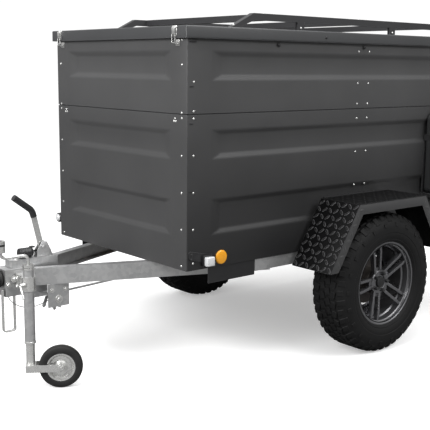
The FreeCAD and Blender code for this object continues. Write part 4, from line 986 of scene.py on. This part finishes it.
def nose_details():
    """Bolts, the boss, the lever's bracket and the linkage below the nose."""
    zinc = bmesh.new()
    merged(zinc, bolt(0.0125, 0.01, 0.002), facing((LINK_X, PLATE_FACE, 0.385), LEFT),
        facing((LINK_X, -PLATE_FACE, 0.385), (0, -1, 0)))
    merged(zinc, bolt(0.0075, 0.006, 0.0015), *mirrored(
        [facing((x, PLATE_FACE, 0.43), LEFT) for x in (LINK_X - 0.035, LINK_X + 0.035)]))
    merged(zinc, lathe([(0.0, 0.02), (0.012, 0.02), (0.014, 0.017), (0.014, 0.01), (0.019, 0.009),
        (0.019, 0.0)], 32), *mirrored([facing((1.296, NOSE_FACE, 0.5), LEFT)]))
    merged(zinc, bolt(0.008, 0.006, 0.0015), *mirrored(
        [facing((x, NOSE_FACE, z), LEFT) for x, z in ((1.222, 0.525), (1.325, 0.475), (1.222, 0.475))]))
    merged(zinc, bolt(0.007, 0.0055, 0.0015), *mirrored(
        [facing((x, 0.018, 0.58), UP) for x in (1.095, 1.27)]))
    finished("nose_bolts", zinc, "chassis", "zinc", 35)

    lug_plate = plate([(LEVER_X - 0.045, 0.577), (LEVER_X + 0.04, 0.577), (LEVER_X + 0.036, 0.612),
        (LEVER_X + 0.012, 0.65), (LEVER_X - 0.014, 0.65), (LEVER_X - 0.034, 0.61)], 0.004, 0.0012, 2)
    bracket = placed(lug_plate, at(0, -0.001, 0), at(0, 0.025, 0))
    merged(bracket, bolt(0.0085, 0.006, 0.0015), facing((LEVER_X + 0.004, 0.027, 0.628), LEFT))
    rack = tube(rounded([(LEVER_X - 0.026, 0.012, 0.588), (LEVER_X - 0.02, 0.012, 0.622),
        (LEVER_X + 0.01, 0.012, 0.64)], 0.01), 0.004, 10)
    merged(bracket, rack)
    finished("lever_bracket", bracket, "chassis", "galvanised", 35)

    arm = plate([(LINK_X - 0.012, 0.39), (LINK_X + 0.014, 0.392), (LINK_X + 0.006, 0.335),
        (LINK_X - 0.002, 0.318), (LINK_X - 0.012, 0.322)], 0.007, 0.0015, 2)
    linkage = placed(arm, at(0, 0.052, 0))
    hook = plate([(LINK_X + 0.03, 0.4), (LINK_X + 0.046, 0.396), (LINK_X + 0.064, 0.352),
        (LINK_X + 0.056, 0.342), (LINK_X + 0.046, 0.35)], 0.006, 0.0015, 2)
    merged(linkage, hook, at(0, 0.06, 0))
    merged(linkage, tube([(LINK_X - 0.036, 0.06, 0.33), (LINK_X - 0.014, 0.052, 0.34)], 0.004, 10))
    finished("brake_levers", linkage, "chassis", "galvanised", 35)

    outer = rounded([(1.29, 0, 0.42), (1.29, 0, 0.252), (1.352, 0, 0.252), (1.352, 0, 0.455)], 0.016, 5)
    inner = rounded([(1.348, 0, 0.455), (1.348, 0, 0.256), (1.294, 0, 0.256), (1.294, 0, 0.42)], 0.012, 5)
    flat = plate([(p.x, p.z) for p in outer + inner], 0.022, 0.0006, 1)
    strap = placed(flat, at(0, 0.034, 0))
    finished("parking_strap", strap, "chassis", "zinc", 35)


def plug():
    """The parked lead plug: a ribbed cap with a flap."""
    low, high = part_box("lead_plug")
    middle = Vector(((low[X] + high[X]) / 2, 0, (low[Z] + high[Z]) / 2))
    radius = (high[Z] - low[Z]) / 2 - 0.001
    length = high[X] - low[X]
    profile = [(0.0, -length / 2), (radius * 0.9, -length / 2), (radius, -length / 2 + 0.003)]
    for index in range(5):
        start = -length / 2 + 0.008 + index * 0.009
        profile += [(radius, start), (radius * 0.9, start + 0.002), (radius * 0.9, start + 0.0045),
            (radius, start + 0.0065)]
    profile += [(radius, length / 2 - 0.014), (radius * 0.75, length / 2 - 0.006),
        (0.008, length / 2 - 0.002), (0.0, length / 2 - 0.002)]
    mesh = placed(lathe(profile, 36), facing(middle, (-1, 0, 0)))
    merged(mesh, block((low[X] - 0.004, -0.012, high[Z] - 0.004),
        (low[X] + 0.018, 0.012, high[Z] + 0.002), 0.002, 2))
    piece = finished("parked_plug", mesh, "chassis", "black_plastic", 40)
    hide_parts("lead_plug")


def jockey_details():
    """Clamp bolts and toggle, the tube's collars, the crank's knob, and the wheel's tyre and rim."""
    zinc = bmesh.new()
    foot, top = edge("jockey_clamp", LOW, Z), edge("jockey_clamp", HIGH, Z)
    side = edge("jockey_clamp", HIGH, Y)
    for z in (foot + 0.014, top - 0.014):
        merged(zinc, bolt(0.007, 0.0055, 0.0015), facing(
            (edge("jockey_clamp", HIGH, X), JOCKEY_Y - 0.05, z), AHEAD))
    merged(zinc, lathe([(0.0055, 0.022), (0.0085, 0.02), (0.0085, 0.0), (0.0115, -0.001)], 24),
        facing((JOCKEY_X + 0.03, side - 0.018, foot + 0.032), AHEAD))
    toggle = [(JOCKEY_X + 0.05, side - 0.018, foot + 0.03),
        (JOCKEY_X + 0.054, side + 0.004, foot + 0.012), (JOCKEY_X + 0.054, side + 0.02, foot - 0.024)]
    merged(zinc, tube(rounded(toggle, 0.01), 0.005, 12))
    collar_z = edge("jockey_outer_tube", LOW, Z)
    merged(zinc, lathe([(0.0242, 0.0), (0.0262, 0.0015), (0.0262, 0.01), (0.0242, 0.0115)], 40),
        facing((JOCKEY_X, JOCKEY_Y, collar_z), UP), facing(
        (JOCKEY_X, JOCKEY_Y, edge("jockey_outer_tube", HIGH, Z) - 0.012), UP))
    finished("jockey_clamp_details", zinc, "chassis", "zinc", 35)
    knob_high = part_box("jockey_crank")[HIGH]
    grip = lathe([(0.0, 0.054), (0.012, 0.053), (0.021, 0.046), (0.0228, 0.034), (0.02, 0.018),
        (0.0145, 0.008), (0.015, -0.001), (0.0, -0.0015)], 32)
    knob = placed(grip, facing((knob_high[X] - 0.022, JOCKEY_Y, knob_high[Z] - 0.053), UP))
    finished("crank_knob", knob, "chassis", "black_plastic", 40)
    low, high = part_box("jockey_tyre")
    centre = (Vector(low) + Vector(high)) / 2
    axle = Vector((-math.sin(JOCKEY_HEADING), math.cos(JOCKEY_HEADING), 0))
    turn = facing(centre, axle)
    half_tread = [(0.064, 0.0215), (0.07, 0.024), (0.086, 0.025), (0.0945, 0.0215), (0.0985, 0.014),
        (0.0998, 0.006), (0.098, 0.0045), (0.098, 0.002), (0.1, 0.0008)]
    tread = lathe(two_faced(half_tread), 72)
    piece = finished("jockey_tread", placed(tread, turn), "jockey_wheel", "rubber", 35)
    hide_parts("jockey_tyre")
    half_disc = [(0.0102, 0.0268), (0.018, 0.0268), (0.0195, 0.024), (0.0225, 0.012), (0.029, 0.0085),
        (0.036, 0.011), (0.044, 0.011), (0.05, 0.0085), (0.0545, 0.012), (0.059, 0.0215),
        (0.0655, 0.0225), (0.0662, 0.0205)]
    disc = lathe(two_faced(half_disc), 72)
    piece = finished("jockey_pressed_rim", placed(disc, turn), "jockey_wheel", "zinc", 35)
    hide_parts("jockey_rim")
    nuts = placed(bolt(0.009, 0.007, 0.0016), facing(centre + axle * 0.0335, axle),
        facing(centre - axle * 0.0335, -axle))
    finished("jockey_axle_nuts", nuts, "jockey_fork", "zinc", 35)


def coupling_details():
    """Bolts through the coupling's neck and a ribbed pull on its handle."""
    zinc = bmesh.new()
    merged(zinc, bolt(0.0085, 0.0065, 0.0015), *mirrored(
        [facing((x, edge("coupling_head", HIGH, Y) - 0.0095, 0.5), LEFT) for x in (1.5, 1.548)]))
    finished("coupling_bolts", zinc, "chassis", "zinc", 35)
    (x_low, y_low, _), (_, y_high, z_high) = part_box("coupling_handle")
    ribs = bmesh.new()
    for index in range(6):
        x = x_low + 0.02 + index * 0.012
        merged(ribs, block((x, y_low + 0.002, z_high - 0.001),
            (x + 0.006, y_high - 0.002, z_high + 0.002), 0.001))
    finished("coupling_handle_ribs", ribs, "chassis", "black_plastic", 40)


# ---------------------------------------------------------------- jerry can and tailgate
def jerry_can():
    """A pressed can with a middle seam, crossed swages, three handles, a screw cap and a strap."""
    low, high = (Vector(corner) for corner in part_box("jerry_can"))
    centre = (low + high) / 2
    cut_top, cut_foot = 0.035, 0.0175
    outline = [(high.x, low.z + cut_foot), (high.x, high.z - cut_top), (high.x - cut_top, high.z),
        (low.x + cut_top, high.z), (low.x, high.z - cut_top), (low.x, low.z + cut_foot),
        (low.x + cut_foot, low.z), (high.x - cut_foot, low.z)]
    mesh = placed(plate(outline, high.y - low.y - 0.002, 0.014, 4), at(0, centre.y, 0))
    seam = [(x + (0.003 if x > centre.x else -0.003), z + (0.003 if z > centre.z else 0.0)) for x,
        z in outline]
    merged(mesh, plate(seam, 0.006, 0.002, 2), at(0, centre.y, 0))
    bar = block((-0.15, -0.004, -0.01), (0.15, 0.003, 0.01), 0.0035, 3)
    crossing = at(centre.x, high.y - 0.001, centre.z + 0.01)
    merged(mesh, bar, crossing @ turned(50, "Y"), crossing @ turned(-50, "Y"))
    for shift in (-0.028, 0.0, 0.028):
        arch = [(x, centre.y + shift, high.z + rise) for x,
            rise in ((high.x - 0.055, -0.004), (high.x - 0.055, 0.02), (low.x + 0.15, 0.02),
            (low.x + 0.15, -0.004))]
        merged(mesh, tube(rounded(arch, 0.012), 0.006, 12))
    piece = finished("pressed_can", mesh, "chassis", "can_paint", 35)
    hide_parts("jerry_can")
    (x_low, y_low, z_low), (x_high, y_high, z_high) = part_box("can_cap")
    radius = (x_high - x_low) / 2
    height = z_high - z_low
    cap = lathe([(0.0, height), (radius * 0.55, height), (radius * 0.62, height * 0.86),
        (radius * 0.94, height * 0.84), (radius, height * 0.7), (radius, height * 0.1),
        (radius * 0.92, 0.0), (0.0, 0.0)], 36)
    cap = placed(cap, facing(((x_low + x_high) / 2, (y_low + y_high) / 2, z_low), UP))
    piece = finished("screw_cap", cap, "chassis", "black_plastic", 40)
    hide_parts("can_cap")
    z = low.z + 0.3
    band = placed(block((low.x - 0.004, high.y - 0.0005, z), (high.x + 0.004, high.y + 0.002, z + 0.034),
        0.0008, 2))
    for x in (low.x - 0.002, high.x + 0.002):
        merged(band, block((x - 0.0015, HALF, z), (x + 0.0015, high.y + 0.001, z + 0.034), 0.0006, 1))
    merged(band, block((centre.x - 0.022, high.y + 0.001, z - 0.004),
        (centre.x + 0.022, high.y + 0.01, z + 0.038), 0.002))
    finished("can_strap", band, "chassis", "black_plastic", 40)


def tailgate_latches():
    """Two over-centre latches that hold the tailgate shut, and a pull between them."""
    x = edge("tailgate", LOW, X)
    top = edge("tailgate", HIGH, Z)
    mesh = bmesh.new()
    for low, high, bevel in (((x - 0.004, -0.016, top - 0.105), (x, 0.016, top - 0.035), 0.001),
            ((x - 0.011, -0.011, top - 0.098), (x - 0.004, 0.011, top - 0.052), 0.002)):
        merged(mesh, block(low, high, bevel), *mirrored([at(0, 0.44, 0)]))
    finished("tailgate_latches", mesh, "tailgate", "zinc", 40)
    path = [(x + reach, y, top - 0.08) for reach, y in ((0.001, -0.06), (-0.022, -0.06), (-0.022, 0.06),
        (0.001, 0.06))]
    pull = tube(rounded(path, 0.012), 0.005, 12)
    finished("tailgate_pull", pull, "tailgate", "black_plastic", 40)


nose_details()
plug()
jockey_details()
coupling_details()
jerry_can()
tailgate_latches()


# ---------------------------------------------------------------- floor, light and camera
def stage():
    """A pale floor that reads white to the camera where nothing shades it."""
    mesh = bmesh.new()
    bmesh.ops.create_grid(mesh, x_segments=1, y_segments=1, size=60.0)
    floor = finished("studio_floor", mesh, None)
    material, tree, shader = blank_material("studio_floor")
    path = add(tree, "ShaderNodeLightPath")
    seen = mixed(tree, noise(tree, 4.0, 2.0), (0.9, 0.9, 0.9), (0.93, 0.93, 0.93))
    tone = mixed(tree, path.outputs["Is Camera Ray"], (0.2, 0.2, 0.2), seen)
    fixed(shader, Roughness=0.95, Specular_IOR_Level=0.0, Emission_Color=(1.0, 1.0, 1.0, 1.0))
    lift = ranged(tree, path.outputs["Is Camera Ray"], 0.0, 0.34, (0.0, 1.0))
    send(tree, shader, Base_Color=tone, Emission_Strength=lift)
    floor.data.materials.append(material)


def lights_and_world():
    """White air for the camera, dimmer and paler upwards for what reflects it, and soft boxes."""
    world = bpy.data.worlds.new("studio_air")
    bpy.context.scene.world = world
    world.use_nodes = True
    tree = world.node_tree
    path = add(tree, "ShaderNodeLightPath")
    place = add(tree, "ShaderNodeTexCoord")
    parts = add(tree, "ShaderNodeSeparateXYZ", {"Vector": place.outputs["Generated"]})
    height = ranged(tree, parts.outputs["Z"], 0.3, 0.85, (-0.1, 0.7))
    strength = add(tree, "ShaderNodeMix", {0: path.outputs["Is Camera Ray"], 2: height, 3: 1.05})
    background = tree.nodes["Background"]
    fixed(background, Color=(1.0, 1.0, 1.0, 1.0))
    send(tree, background, Strength=strength.outputs[0])
    for name, eye, aim, size, power in (("ahead_box", (4.5, 0.6, 3.2), (0.6, 0.0, 1.0), (3.0, 2.4),
            230.0), ("side_box", (-1.0, 4.6, 4.4), (-0.4, 0.5, 1.5), (4.0, 1.6), 150.0),
            ("top_box", (-0.5, 0.5, 5.0), (-0.5, 0.0, 0.0), (4.0, 3.0), 120.0)):
        data = bpy.data.lights.new(name, "AREA")
        data.shape = "RECTANGLE"
        data.size, data.size_y = size
        data.energy = power
        lamp = bpy.data.objects.new(name, data)
        bpy.context.scene.collection.objects.link(lamp)
        direction = Vector(aim) - Vector(eye)
        lamp.matrix_world = (Matrix.Translation(eye) @ direction.to_track_quat("-Z",
            "Y").to_matrix().to_4x4())


EYE_AHEAD, EYE_LEFT, EYE_HEIGHT = 2.3778, 3.0088, 1.4685
YAW, PITCH, ROLL = (math.radians(angle) for angle in (229.7704, -9.7994, 0.5811))
FOCAL_LENGTH = 72.37


def camera():
    """The view from ahead and to the left, below the lid's foot."""
    eye = Vector((FRONT + EYE_AHEAD, HALF + EYE_LEFT, EYE_HEIGHT))
    ahead = Vector((math.cos(YAW) * math.cos(PITCH), math.sin(YAW) * math.cos(PITCH), math.sin(PITCH)))
    right = ahead.cross(Vector(UP)).normalized()
    up = right.cross(ahead)
    side = right * math.cos(ROLL) + up * math.sin(ROLL)
    top = up * math.cos(ROLL) - right * math.sin(ROLL)
    data = bpy.data.cameras.new("camera")
    data.lens = FOCAL_LENGTH
    data.sensor_width = 36.0
    data.clip_end = 200.0
    viewer = bpy.data.objects.new("camera", data)
    bpy.context.scene.collection.objects.link(viewer)
    frame_turn = Matrix((side, top, -ahead)).transposed().to_4x4()
    viewer.matrix_world = Matrix.Translation(eye) @ frame_turn
    bpy.context.scene.camera = viewer
    bpy.context.scene.view_settings.view_transform = "Standard"


stage()
lights_and_world()
camera()
